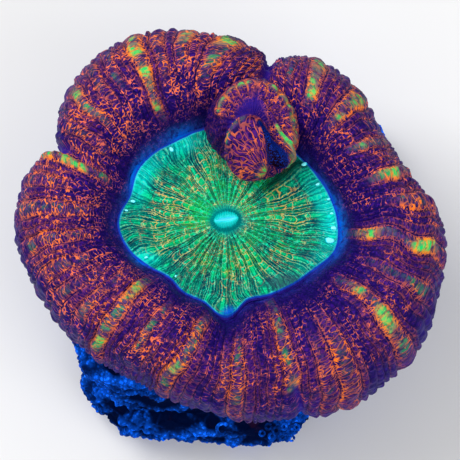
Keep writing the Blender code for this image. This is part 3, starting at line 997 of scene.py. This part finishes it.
class Shade:
    """Adds nodes to one tree. Each method returns the socket that carries its result."""

    def __init__(self, tree):
        self.tree = tree

    def node(self, kind, **settings):
        """A node of the tree with these settings."""
        made = self.tree.nodes.new("ShaderNode" + kind)
        for name, value in settings.items():
            setattr(made, name, value)
        return made

    def feed(self, socket, value):
        """Joins a socket to this one, or sets its number, vector or colour."""
        if isinstance(value, bpy.types.NodeSocket):
            self.tree.links.new(value, socket)
        elif socket.type == "RGBA":
            socket.default_value = (*tuple(value)[:3], 1)
        else:
            socket.default_value = value

    def filled(self, node, values, out=0):
        """Feeds a node's first inputs in order and returns one of its outputs."""
        for socket, value in zip(node.inputs, values):
            self.feed(socket, value)
        return node.outputs[out]

    def math(self, operation, *values, clamp=False):
        """A sum on numbers."""
        return self.filled(self.node("Math", operation=operation, use_clamp=clamp), values)

    def times(self, first, *others):
        """The product of numbers."""
        for other in others:
            first = self.math("MULTIPLY", first, other)
        return first

    def larger(self, first, *others):
        """The largest of some numbers."""
        for other in others:
            first = self.math("MAXIMUM", first, other)
        return first

    def times_plus(self, value, factor, added):
        """A number times a factor, plus another."""
        return self.math("MULTIPLY_ADD", value, factor, added)

    def lack(self, value):
        """What a share leaves of 1."""
        return self.math("SUBTRACT", 1.0, value)

    def apart(self, value, level):
        """How far a number is from a level, either way."""
        return self.math("ABSOLUTE", self.math("SUBTRACT", value, level))

    def zigzag(self, value, top):
        """Rises to the top and falls back to 0, over and over."""
        return self.math("PINGPONG", value, top)

    def vector(self, operation, *values):
        """A sum on vectors."""
        return self.filled(self.node("VectorMath", operation=operation), values)

    def length(self, vector):
        """How long a vector is."""
        return self.filled(self.node("VectorMath", operation="LENGTH"), (vector,), "Value")

    def scaled(self, vector, factor):
        """A vector times a number."""
        made = self.node("VectorMath", operation="SCALE")
        self.feed(made.inputs["Vector"], vector)
        self.feed(made.inputs["Scale"], factor)
        return made.outputs[0]

    def fade(self, value, low, high, at_low=0.0, at_high=1.0):
        """A smooth change from one value to another as the input passes from low to high."""
        made = self.node("MapRange", interpolation_type="SMOOTHSTEP")
        return self.filled(made, (value, low, high, at_low, at_high))

    def fall(self, value, low, high, at_low=1.0):
        """A smooth change down to 0 as the input passes from low to high."""
        return self.fade(value, low, high, at_low, 0.0)

    def mix(self, factor, first, second):
        """One colour over another."""
        made = self.node("Mix", data_type="RGBA")
        for index, value in ((0, factor), (6, first), (7, second)):
            self.feed(made.inputs[index], value)
        return made.outputs[2]

    def cover(self, colour, *layers):
        """A colour with others laid over it: each layer is a mask and a colour."""
        for mask, layer in layers:
            colour = self.mix(mask, colour, layer)
        return colour

    def between(self, factor, first, second):
        """A number between two others."""
        return self.times_plus(self.math("SUBTRACT", second, first), factor, first)

    def attribute(self, name, out="Fac"):
        """A value that the shape carries on its vertices."""
        return self.node("Attribute", attribute_name=name).outputs[out]

    def noise(self, vector, scale, detail=2.0, roughness=0.5, out="Fac"):
        """Soft clouds."""
        made = self.node("TexNoise")
        values = {"Vector": vector, "Scale": scale, "Detail": detail, "Roughness": roughness}
        for name, value in values.items():
            self.feed(made.inputs[name], value)
        return made.outputs[out]

    def cells(self, vector, scale, feature="DISTANCE_TO_EDGE"):
        """A cell pattern: the distance from the cells' walls or from their middles."""
        made = self.node("TexVoronoi", feature=feature)
        self.feed(made.inputs["Vector"], vector)
        self.feed(made.inputs["Scale"], scale)
        return made.outputs["Distance"]

    def group(self, tree, **values):
        """A group placed with its own values, keyed by input name with _ for a space."""
        made = self.node("Group", node_tree=tree)
        for name, value in values.items():
            self.feed(made.inputs[name.replace("_", " ")], value)
        return made.outputs


def new_group(name, inputs, outputs):
    """A shader group with named sockets: its Shade, its group input and its group output."""
    tree = bpy.data.node_groups.new(name, "ShaderNodeTree")
    for side, labels in (("INPUT", inputs), ("OUTPUT", outputs)):
        for label in labels:
            kind = "NodeSocketVector" if label == "Vector" else "NodeSocketFloat"
            tree.interface.new_socket(label, in_out=side, socket_type=kind)
    shade = Shade(tree)
    return shade, tree.nodes.new("NodeGroupInput").outputs, tree.nodes.new("NodeGroupOutput").inputs


def net_group():
    """Thin wandering lines in a broken net, gone in places, and the seams that they lie in."""
    sockets = ("Vector", "Scale", "Width", "Wander")
    shade, given, result = new_group("thin_net", sockets, ("Lines", "Seams"))
    cloud = shade.noise(given["Vector"], shade.times(given["Scale"], 0.8), 1.5, 0.5, "Color")
    shift = shade.scaled(shade.vector("SUBTRACT", cloud, (0.5, 0.5, 0.5)), given["Wander"])
    place = shade.vector("ADD", given["Vector"], shift)
    swell = shade.noise(place, shade.times(given["Scale"], 0.9), 2.0)
    width = shade.times(given["Width"], shade.fade(swell, 0.38, 0.60, 0.05, 1.3))
    half = shade.times(width, 0.35)
    edge = shade.cells(place, given["Scale"])
    shade.feed(result["Lines"], shade.fall(edge, half, width))
    shade.feed(result["Seams"], shade.fall(edge, given["Width"], shade.times(given["Width"], 2.2)))
    return shade.tree


def skin_group():
    """The fine pebbling of wet flesh, as a height from 0 to 1."""
    shade, given, result = new_group("skin_grain", ("Vector", "Scale"), ("Height",))
    pebble = shade.cells(given["Vector"], given["Scale"], "SMOOTH_F1")
    cloud = shade.noise(given["Vector"], shade.times(given["Scale"], 0.4), 4.0)
    shade.feed(result["Height"], shade.times_plus(pebble, -0.6, cloud))
    return shade.tree


def grit_group():
    """Limy stone: a height, and how deep in a pore or a hollow a spot lies."""
    shade, given, result = new_group("lime_grit", ("Vector", "Scale"), ("Height", "Pore"))
    cloud = shade.noise(given["Vector"], given["Scale"], 8.0, 0.68)
    fine = shade.times(given["Scale"], 2.4)
    warp = shade.scaled(shade.noise(given["Vector"], given["Scale"], 2.0, 0.5, "Color"), 0.3)
    pits = shade.cells(shade.vector("ADD", given["Vector"], warp), fine, "F1")
    pore = shade.fall(pits, 0.18, 0.42)
    shade.feed(result["Height"], shade.times_plus(pore, -0.5, cloud))
    shade.feed(result["Pore"], shade.times(pore, shade.fall(cloud, 0.4, 0.62)))
    return shade.tree


def shared_group(name, build):
    """The shader group of this name, built the first time it is asked for."""
    return bpy.data.node_groups.get(name) or build()


def new_material(label, roughness, coat=0.0, glow=0.0):
    """A material with its Shade and its Principled shader, whose plain numbers are set here."""
    made = bpy.data.materials.new(label)
    made.use_nodes = True
    surface = made.node_tree.nodes["Principled BSDF"]
    # Glow is how strongly a surface gives off light in its own colour: painted light, as no piece is a lamp.
    numbers = {
        "Roughness": roughness, "Coat Weight": coat, "Coat Roughness": COAT_ROUGHNESS,
        "Specular IOR Level": SPECULAR_LEVEL, "Emission Strength": glow,
    }
    for name, value in numbers.items():
        surface.inputs[name].default_value = value
    return made, Shade(made.node_tree), surface


def finish_surface(shade, surface, colour, height, depth, glow=None):
    """Feeds colour, glow and bump into a Principled shader."""
    shade.feed(surface.inputs["Base Color"], colour)
    if glow is not None:
        shade.feed(surface.inputs["Emission Color"], glow)
    bump = shade.node("Bump")
    bump.inputs["Strength"].default_value = BUMP_STRENGTH
    bump.inputs["Distance"].default_value = depth * MM
    shade.feed(bump.inputs["Height"], height)
    shade.feed(surface.inputs["Normal"], bump.outputs[0])


def flesh_material(name, colours, pitted=False):
    """Dark violet pebbled flesh with dashed orange lines, barred and beaded ridges, and painted shade on the
    hem.
    """
    made, shade, surface = new_material(name, 0.38, glow=0.10)
    net = shared_group("thin_net", net_group)
    flow = shade.attribute("flow", "Vector")
    names = ("ridge", "beat", "stripe", "green", "net", "share", "crease", "gleam", "calm")
    ridge, beat, stripe, green, meshed, share, crease, gleam, calm = (shade.attribute(each) for each in names)
    drift = shade.noise(flow, 1.7, 3.0)
    broad = shade.noise(flow, 0.42, 3.0, 0.6)
    bead = shade.times(shade.zigzag(beat, 0.5), 2.0)
    speckle = shade.noise(flow, 4.4, 1.0)

    # Lines: a net of small round cells, and chains of cells whose dashed walls run along the ridges.
    # Coloured ridges have rungs across them.
    cells = shade.group(
        net, Vector=flow, Scale=3.5 if pitted else 2.9, Width=0.09 if pitted else 0.125, Wander=0.28
    )
    fine = across = cells["Lines"]
    seams = cells["Seams"]
    if not pitted:
        links = shade.times_plus(drift, 1.8, shade.times(beat, 1.75))
        links = shade.fall(shade.zigzag(links, 0.5), 0.03, 0.13, 0.9)
        links = shade.times(links, shade.fade(ridge, 0.30, 0.55))
        walls = shade.apart(ridge, 0.40)
        walls = shade.times(shade.fall(walls, 0.10, 0.30), shade.fade(speckle, 0.44, 0.54, 0.1, 1.0))
        chains = shade.larger(links, walls)
        fine = shade.between(shade.fade(shade.noise(flow, 0.6, 2.0), 0.44, 0.54), chains, fine)
        rungs = shade.group(
            net, Vector=shade.vector("MULTIPLY", flow, (0.65, 0.65, 1.35)), Scale=2.8, Width=0.11, Wander=0.30
        )
        across = rungs["Lines"]
        barred = shade.fade(stripe, 0.2, 0.5)
        fine = shade.between(barred, fine, across)
        seams = shade.between(barred, seams, rungs["Seams"])

    # Ground: violet pebbles over indigo grooves, painted shade on the inner slope beside the disc, and
    # blue-violet at the hem.
    top = shade.times(shade.fade(ridge, 0.10, 0.8), shade.fade(bead, 0.0, 0.5, 0.5, 1.0))
    colour = shade.mix(top, colours.groove, colours.plum)
    slope = shade.fall(share, 0.04, 0.26)
    hem = shade.times(shade.fade(share, 0.80, 1.05), shade.fade(ridge, 0.1, 0.8, 0.2, 0.9))
    gap = shade.times(shade.fade(share, 0.50, 0.90), shade.fade(ridge, 0.15, 0.65, 0.85, 0.25))
    colour = shade.cover(
        colour,
        (shade.fade(drift, 0.45, 0.65, 0.0, 0.45), colours.rim),
        (shade.times(slope, 0.7), colours.slope_shade),
        (hem, colours.rim),
        (shade.times(stripe, top, 0.45), colours.rose),
        (shade.fall(share, 0.0, 0.16, 0.7), colours.rim),
        (shade.times(seams, 0.6), colours.groove),
        (shade.fall(speckle, 0.42, 0.52, 0.85), colours.groove),
        (gap, colours.groove),
    )

    # The lines are strong in patches, and fainter on the inner slope, at the hem and in calm flesh.
    spread = shade.times(shade.fade(broad, 0.36, 0.60, 0.30, 1.0), shade.fade(drift, 0.36, 0.56, 0.25, 1.0))
    lines = shade.times(
        fine, shade.larger(spread, meshed), shade.fade(share, 0.02, 0.30, 0.45, 1.0),
        shade.fade(share, 0.84, 1.06, 1.0, 0.25), shade.lack(calm),
    )
    if not pitted:
        lines = shade.fade(lines, 0.06, 0.60)
        lines = shade.times(lines, shade.fade(speckle, 0.38, 0.54, 0.25, 1.0))

    # Bars: the rungs burn bright on the flanks of a coloured ridge, with a broken rim round each bead.
    rims = shade.fall(bead, 0.02, 0.26 if pitted else 0.18)
    flank = shade.times(shade.fade(ridge, 0.02, 0.30), shade.fade(ridge, 0.60, 0.95, 1.0, 0.35))
    if pitted:
        wires = shade.apart(shade.times_plus(drift, 0.5, ridge), 0.72)
        wires = shade.times(shade.fall(wires, 0.04, 0.14), shade.fade(speckle, 0.40, 0.54, 0.2, 1.0))
        flank = shade.times(flank, shade.fade(stripe, 0.0, 0.7))
        rims = shade.times(rims, shade.fade(drift, 0.38, 0.54, 0.35, 1.0))
        across = shade.times(across, 0.4)
    else:
        rims = shade.times(rims, shade.fade(drift, 0.42, 0.54, 0.1, 1.0))
        wires = shade.zigzag(shade.times_plus(drift, 2.2, ridge), 0.25)
        wires = shade.times(shade.fall(wires, 0.03, 0.10), shade.fall(ridge, 0.5, 0.8, 0.8))
        flank = shade.times(flank, stripe)
    bright = shade.times(flank, shade.larger(rims, wires, across))

    # Bead tops: soft green where the ridge is strongest, grey elsewhere, yellow beside the bars.
    blot = shade.fade(shade.noise(flow, 1.1, 1.0), 0.36, 0.54, 0.15, 1.0)
    strong = shade.times(shade.fade(green, 0.40, 0.85), blot)
    cap = shade.times(shade.fade(ridge, 0.60, 0.98), shade.fade(bead, 0.05, 0.5, 0.25, 1.0))
    cap = shade.times(cap, blot, shade.fade(green, 0.0, 0.95))
    pure = shade.times_plus(strong, 0.16, shade.noise(flow, 0.8))
    tops = shade.mix(shade.fade(pure, 0.50, 0.62), colours.bead_grey, colours.bead_green)
    halo = shade.times(shade.fade(speckle, 0.42, 0.54, 0.15, 0.85), shade.fade(ridge, 0.25, 0.60))
    lines = shade.times(lines, shade.fade(cap, 0.1, 0.7, 1.0, 0.3))
    lit = shade.times(shade.math("POWER", green, 1.5), shade.fade(ridge, 0.3, 0.9))
    warm = shade.mix(lit, colours.orange, colours.amber)
    quiet = shade.mix(shade.fade(broad, 0.45, 0.62, 0.0, 0.6), colours.coral, colours.orange)
    warm = shade.mix(stripe, shade.mix(slope, quiet, SHADED_LINE), warm)
    orange = shade.math("MAXIMUM", lines, bright, clamp=True)
    colour = shade.cover(
        colour,
        (shade.times(strong, halo), colours.amber),
        (cap, tops),
        (orange, warm),
    )

    # The outer side goes down into a skirt with few lines, darkened by painted shade. Creases turn
    # blue-violet, as does the hem where painted blue rim light falls, and the flesh beside the disc
    # takes on painted blue glow from the disc's margin.
    away = shade.times(shade.fade(share, 0.80, 1.06, 0.0, 0.62), shade.fade(stripe, 0.3, 0.8, 1.0, 0.35))
    skirt = shade.mix(shade.fade(drift, 0.40, 0.58), SKIRT, SKIRT_CLOUD)
    skirt = shade.mix(shade.times(fine, 0.30), skirt, SKIRT_LINE)
    # Painted blue glow from the disc's margin on the flesh that touches it.
    shore = shade.times(shade.fall(share, 0.0, 0.10, 0.45), shade.fade(broad, 0.42, 0.62))
    shore = shade.larger(shore, shade.fall(share, 0.0, 0.02, 0.4))
    # Painted highlight where the disc's margin gleams, laid in blue on the flesh beside it.
    glow = shade.times(gleam, shade.fall(share, 0.0, 0.11, 0.95))
    colour = shade.cover(
        colour,
        (away, skirt),
        (crease, colours.rim),
        (shore, colours.lagoon),
        (shade.times(glow, shade.fade(drift, 0.38, 0.56, 0.3, 1.0)), GLEAM_BLUE),
    )

    # The bud's pit is painted dark red-brown as shade, with blue specks and a blue edge.
    if pitted:
        pit = shade.attribute("pit")
        speck = shade.times_plus(meshed, 0.18, shade.noise(flow, 8.0, 1.0))
        deep = shade.mix(shade.fade(speck, 0.55, 0.65), PIT_SHADE, PIT_SPECK)
        deep = shade.mix(shade.fall(pit, 0.5, 0.9, 0.30), deep, PIT_EDGE)
        colour = shade.mix(shade.fade(pit, 0.12, 0.45), colour, deep)

    grain = shade.group(shared_group("skin_grain", skin_group), Vector=flow, Scale=3.2)["Height"]
    height = shade.times_plus(orange, 0.8, grain)
    finish_surface(shade, surface, colour, height, 0.07, colour)
    return made


def disc_material(colours):
    """Green cells between fine wavy dark spokes and dashed gold lines, with a cyan rim."""
    made, shade, surface = new_material("disc_skin", 0.36, glow=0.16)
    net = shared_group("thin_net", net_group)
    flow = shade.attribute("flow", "Vector")
    share, tent, beat, celled, gold, crease, gleam = (shade.attribute(name) for name in DISC_NUMBERS)
    cloud = shade.noise(flow, 0.7, 3.0)
    drift = shade.noise(flow, 2.2, 2.0)
    ripple = shade.noise(flow, 5.0, 1.0)
    mid = shade.times(shade.fade(share, 0.12, 0.22), shade.fade(share, 0.66, 0.92, 1.0, 0.2))

    # Rays round the mouth: the direction on a circle, and the distance as a steady growth.
    flat = shade.vector("MULTIPLY", flow, (1, 1, 0))
    growth = shade.node("CombineXYZ")
    shade.feed(growth.inputs[2], shade.math("LOGARITHM", shade.length(flat), math.e))
    circle = shade.scaled(shade.vector("NORMALIZE", flat), DISC_RAYS / TURN)
    rays = shade.vector("ADD", circle, shade.scaled(growth.outputs[0], 2.2))

    # Ground: green cells, bluer towards the margin and deepest between the spokes.
    ground = shade.mix(shade.fade(cloud, 0.36, 0.6), colours.disc_sea, colours.disc_green)
    pure = shade.fade(shade.noise(flow, 0.45), 0.52, 0.60)
    pure = shade.times(pure, shade.fall(share, 0.5, 0.8, 0.8))
    ground = shade.mix(pure, ground, CELL_PURE)
    ground = shade.mix(shade.fade(share, 0.55, 0.95, 0.0, 0.75), ground, colours.disc_aqua)
    # A painted highlight on the cells near the margin, where it gleams.
    ground = shade.mix(shade.times(gleam, shade.fade(drift, 0.35, 0.55, 0.5, 1.0)), ground, CELL_GLEAM)
    threads = shade.group(net, Vector=flow, Scale=3.3, Width=0.10, Wander=0.3)["Lines"]
    colour = shade.mix(shade.times(threads, 0.8), ground, CELL_THREAD)
    bead = shade.times(shade.zigzag(beat, 0.5), 2.0)
    middle = shade.times(shade.fade(tent, 0.25, 0.7), shade.fade(bead, 0.1, 0.5))
    middle = shade.times(middle, celled, shade.fade(cloud, 0.35, 0.6, 0.15, 0.6))
    colour = shade.mix(middle, colour, colours.disc_bright)

    # Spokes: thin wavy dark lines at the edges of every row, and a net of rays between them.
    wavy = shade.times_plus(shade.math("SUBTRACT", drift, 0.5), 0.45, tent)
    wavy = shade.times_plus(shade.math("SUBTRACT", ripple, 0.5), 0.32, wavy)
    border = shade.fall(wavy, 0.06, 0.24)
    half = shade.fall(shade.apart(wavy, 0.58), 0.04, 0.14)
    half = shade.times(half, shade.fade(share, 0.45, 0.75, 0.0, 0.85))
    plain = shade.times(shade.lack(celled), shade.fade(wavy, 0.80, 0.95))
    branch = shade.group(net, Vector=rays, Scale=1.0, Width=0.09, Wander=0.30)["Lines"]
    branch = shade.times(branch, shade.fade(share, 0.3, 0.6, 0.0, 0.8))
    spokes = shade.larger(border, half, plain, branch)
    colour = shade.mix(shade.times(spokes, shade.fade(cloud, 0.3, 0.6, 0.98, 0.8)), colour, colours.disc_teal)

    # Gold: dashed wires that run along the spokes, and arcs between the cells of a row.
    dashes = shade.fade(ripple, 0.40, 0.52, 0.25, 1.0)
    side = shade.times(dashes, shade.fall(shade.apart(wavy, 0.33), 0.02, 0.085))
    arcs = shade.times(shade.fall(bead, 0.02, 0.14), shade.fade(tent, 0.15, 0.4))
    arcs = shade.times(arcs, shade.times_plus(celled, 0.7, 0.15))
    wires = shade.times(shade.larger(side, arcs), gold, mid)
    stray = shade.times(threads, mid, shade.fade(drift, 0.54, 0.62, 0.0, 0.6))
    wires = shade.larger(wires, stray)
    wires = shade.times(wires, shade.fade(shade.noise(flow, 0.55, 2.0), 0.42, 0.56, 0.12, 1.0))
    colour = shade.mix(wires, colour, colours.disc_gold)

    # Towards the mouth the rows run together into blue. The fold under the bud is dark green with the
    # bud's painted shadow, films lie over the disc, and its margin has a thin cyan rim with painted
    # highlights where it gleams. Outside it, a violet or blue brim is painted as glow over the shade of
    # the crevice under the margin.
    colour = shade.cover(
        colour,
        (shade.fall(share, 0.11, 0.22, 0.8), colours.disc_deep),
        (shade.times(crease, 0.9), BUD_SHADOW_GREEN),
    )
    for place, wide, strength, film in DISC_FILMS:
        away = shade.length(shade.vector("MULTIPLY", shade.vector("SUBTRACT", flat, place), wide))
        colour = shade.mix(shade.fall(away, 0.4, 1.1, strength), colour, film)
    edge = shade.fade(shade.noise(flow, 0.9, 1.0), 0.42, 0.58, 0.15, 0.8)
    edge = shade.times(shade.larger(edge, gleam), shade.fade(share, 0.998, 1.008))
    outer = shade.mix(gleam, BRIM_VIOLET, BRIM_BLUE)
    colour = shade.cover(
        colour,
        (edge, colours.cyan),
        (shade.times(gleam, 0.34), RIM_GLEAM),
        (shade.fade(share, 1.014, 1.021), colours.lagoon),
        (shade.fade(share, 1.028, 1.046), outer),
    )
    grain = shade.group(shared_group("skin_grain", skin_group), Vector=flow, Scale=4.0)["Height"]
    height = shade.times_plus(spokes, -0.6, shade.times_plus(wires, 0.5, grain))
    finish_surface(shade, surface, colour, height, 0.06, colour)
    return made


def clear_material(name, bands, glow):
    """Clear cyan flesh in soft bands."""
    made, shade, surface = new_material(name, 0.30, coat=0.25, glow=glow)
    spot = shade.scaled(shade.node("TexCoord").outputs["Object"], 1 / MM)
    cloud = shade.noise(spot, 3.2, 3.0)
    place = shade.times_plus(cloud, 0.3, shade.math("SUBTRACT", shade.attribute("share"), 0.15))
    colour = bands[0][1]
    for (edge, _), (_, following) in zip(bands, bands[1:]):
        colour = shade.mix(shade.fade(place, edge, edge + 0.20), colour, following)
    finish_surface(shade, surface, colour, cloud, 0.04, colour)
    return made


def stone_material(name, colours, scale, lift):
    """Limy stone in bright grains, with painted highlights on high spots and painted shade in pores and
    hollows.
    """
    # The stone gives off strong painted glow in its own colour.
    made, shade, surface = new_material(name, 0.85, glow=0.95)
    flow = shade.attribute("flow", "Vector")
    grit = shade.group(shared_group("lime_grit", grit_group), Vector=flow, Scale=scale)
    height = shade.attribute("relief")
    cloud = shade.noise(flow, 0.7, 4.0, 0.6)
    # Raised parts are painted lighter and sunken ones darker: painted light and shade.
    raised = shade.fade(height, -0.34 + lift, 0.20 + lift)
    grains = shade.fade(shade.cells(flow, 3.6, "F1"), 0.15, 0.55, 1.0, 0.35)
    tone = shade.times(raised, shade.fade(cloud, 0.34, 0.62, 0.12, 1.0), grains)
    colour = shade.mix(tone, colours.hollow, colours.stone)
    # Pale spots on the high grit of raised parts: painted highlight.
    pale = shade.times(shade.fade(grit["Height"], 0.50, 0.68), shade.math("POWER", tone, 2.0))
    # Pores darken as painted shade, and the deepest hollows take painted shadow.
    colour = shade.cover(
        colour,
        (shade.times(grit["Pore"], 0.8), colours.hollow),
        (pale, STONE_HIGHLIGHT),
        (shade.fall(height, -1.0, -0.55, 0.9), STONE_DEEP_SHADOW),
    )
    finish_surface(shade, surface, colour, grit["Height"], 0.16, colour)
    return made


# Stage.


def make_stage(settings):
    """Floor, softboxes, pale world and camera."""
    scene = bpy.context.scene
    floor_mesh = bpy.data.meshes.new("floor")
    shape = bmesh.new()
    bmesh.ops.create_grid(shape, x_segments=1, y_segments=1, size=3.0)
    shape.to_mesh(floor_mesh)
    shape.free()
    floor = bpy.data.objects.new("floor", floor_mesh)
    scene.collection.objects.link(floor)
    made, shade, surface = new_material("floor_paper", 0.9)
    cloud = shade.noise(shade.node("TexCoord").outputs["Object"], 60.0, 2.0)
    shade.feed(surface.inputs["Base Color"], shade.mix(cloud, (0.80, 0.80, 0.80), (0.84, 0.84, 0.84)))
    floor_mesh.materials.append(made)

    world = bpy.data.worlds.new("studio")
    world.use_nodes = True
    scene.world = world
    sky = Shade(world.node_tree)
    light = world.node_tree.nodes["Background"]
    light.inputs["Color"].default_value = (1, 1, 1, 1)
    light.inputs["Strength"].default_value = settings.sky
    seen = sky.node("Background")
    seen.inputs["Color"].default_value = (0.88, 0.88, 0.89, 1)
    path = sky.node("LightPath")
    choose = sky.node("MixShader")
    seen_rays = sky.math("ADD", path.outputs["Is Camera Ray"], path.outputs["Is Glossy Ray"])
    sky.feed(choose.inputs[0], sky.math("ADD", seen_rays, path.outputs["Is Transmission Ray"]))
    sky.feed(choose.inputs[1], light.outputs[0])
    sky.feed(choose.inputs[2], seen.outputs[0])
    sky.feed(world.node_tree.nodes["World Output"].inputs["Surface"], choose.outputs[0])

    middle = MM * (Vector(AIM) + Vector((MOUTH_X, MOUTH_Y, 0)))
    for name, power, size, place in (
        ("key_softbox", settings.key, 0.25, (-0.22, 0.16, 0.36)),
        ("fill_softbox", settings.fill, 0.30, (0.26, -0.20, 0.30)),
    ):
        lamp = bpy.data.lights.new(name, "AREA")
        lamp.energy, lamp.size = power, size
        made = bpy.data.objects.new(name, lamp)
        made.location = place
        made.rotation_euler = (middle - made.location).to_track_quat("-Z", "Y").to_euler()
        scene.collection.objects.link(made)

    camera = bpy.data.cameras.new("camera")
    camera.lens, camera.sensor_width = settings.lens, 36
    camera.clip_start, camera.clip_end = 0.01, 10
    eye = bpy.data.objects.new("camera", camera)
    back = Vector((0, -math.cos(settings.elevation), math.sin(settings.elevation)))
    eye.location = middle + settings.distance * back
    eye.rotation_euler = (-back).to_track_quat("-Z", "Y").to_euler()
    scene.collection.objects.link(eye)
    scene.camera = eye
    scene.view_settings.view_transform = "Standard"


# Operators.


class CORAL_OT_mantle(bpy.types.Operator):
    """Builds the folded ring with its beaded ridges"""

    bl_idname = "coral.mantle"
    bl_label = "Mantle"

    def execute(self, context):
        scene = context.scene
        make_mantle(scene.coral_sizes, flesh_material("mantle_skin", scene.coral_colours))
        return {"FINISHED"}


class CORAL_OT_disc(bpy.types.Operator):
    """Builds the oral disc, the lips of the mouth and the tentacle tips"""

    bl_idname = "coral.disc"
    bl_label = "Disc, mouth and tips"

    def execute(self, context):
        colours = context.scene.coral_colours
        make_disc(context.scene.coral_sizes, disc_material(colours))
        make_lips(clear_material("lip_skin", LIP_BANDS, 0.16))
        # The tips give off strong painted glow.
        make_tips(clear_material("tip_skin", TIP_BANDS, 0.4))
        return {"FINISHED"}


class CORAL_OT_bud(bpy.types.Operator):
    """Builds the bud that leans over the disc"""

    bl_idname = "coral.bud"
    bl_label = "Bud"

    def execute(self, context):
        scene = context.scene
        make_bud(flesh_material("bud_skin", scene.coral_colours, pitted=True))
        return {"FINISHED"}


class CORAL_OT_stone(bpy.types.Operator):
    """Builds the stony cup, the rubble rock and the crusts on it"""

    bl_idname = "coral.stone"
    bl_label = "Cup and rock"

    def execute(self, context):
        scene = context.scene
        relief = scene.coral_sizes.stone_relief / MM
        cup = stone_material("cup_lime", scene.coral_colours, 2.2, 0.0)
        rock = stone_material("rock_lime", scene.coral_colours, 1.6, 0.1)
        make_stone("skeleton_cup", cup_outline, 0.8 * relief, 0.3, cup)
        make_stone("rubble_rock", rock_outline, relief, 0.5, rock)
        make_crusts(rock)
        return {"FINISHED"}


class CORAL_OT_stage(bpy.types.Operator):
    """Builds the floor, lights and camera"""

    bl_idname = "coral.stage"
    bl_label = "Stage"

    def execute(self, context):
        make_stage(context.scene.coral_stage)
        return {"FINISHED"}


class CORAL_PT_panel(bpy.types.Panel):
    """The coral's operators and settings"""

    bl_label = "Coral"
    bl_idname = "CORAL_PT_panel"
    bl_space_type = "VIEW_3D"
    bl_region_type = "UI"
    bl_category = "Coral"

    def draw(self, context):
        for operator in OPERATORS:
            self.layout.operator(operator.bl_idname)
        for group in (context.scene.coral_sizes, context.scene.coral_colours, context.scene.coral_stage):
            box = self.layout.box()
            for name in group.__annotations__:
                box.prop(group, name)


OPERATORS = (CORAL_OT_mantle, CORAL_OT_disc, CORAL_OT_bud, CORAL_OT_stone, CORAL_OT_stage)
GROUPS = {"coral_sizes": CoralSizes, "coral_colours": CoralColours, "coral_stage": StageSettings}
CLASSES = (*GROUPS.values(), *OPERATORS, CORAL_PT_panel)


def register():
    for made in CLASSES:
        bpy.utils.register_class(made)
    for name, group in GROUPS.items():
        setattr(bpy.types.Scene, name, PointerProperty(type=group))


def unregister():
    for name in GROUPS:
        delattr(bpy.types.Scene, name)
    for made in reversed(CLASSES):
        bpy.utils.unregister_class(made)


def main():
    """Builds every piece and the stage."""
    register()
    bpy.ops.coral.mantle()
    bpy.ops.coral.disc()
    bpy.ops.coral.bud()
    bpy.ops.coral.stone()
    bpy.ops.coral.stage()


if __name__ == "__main__":
    main()
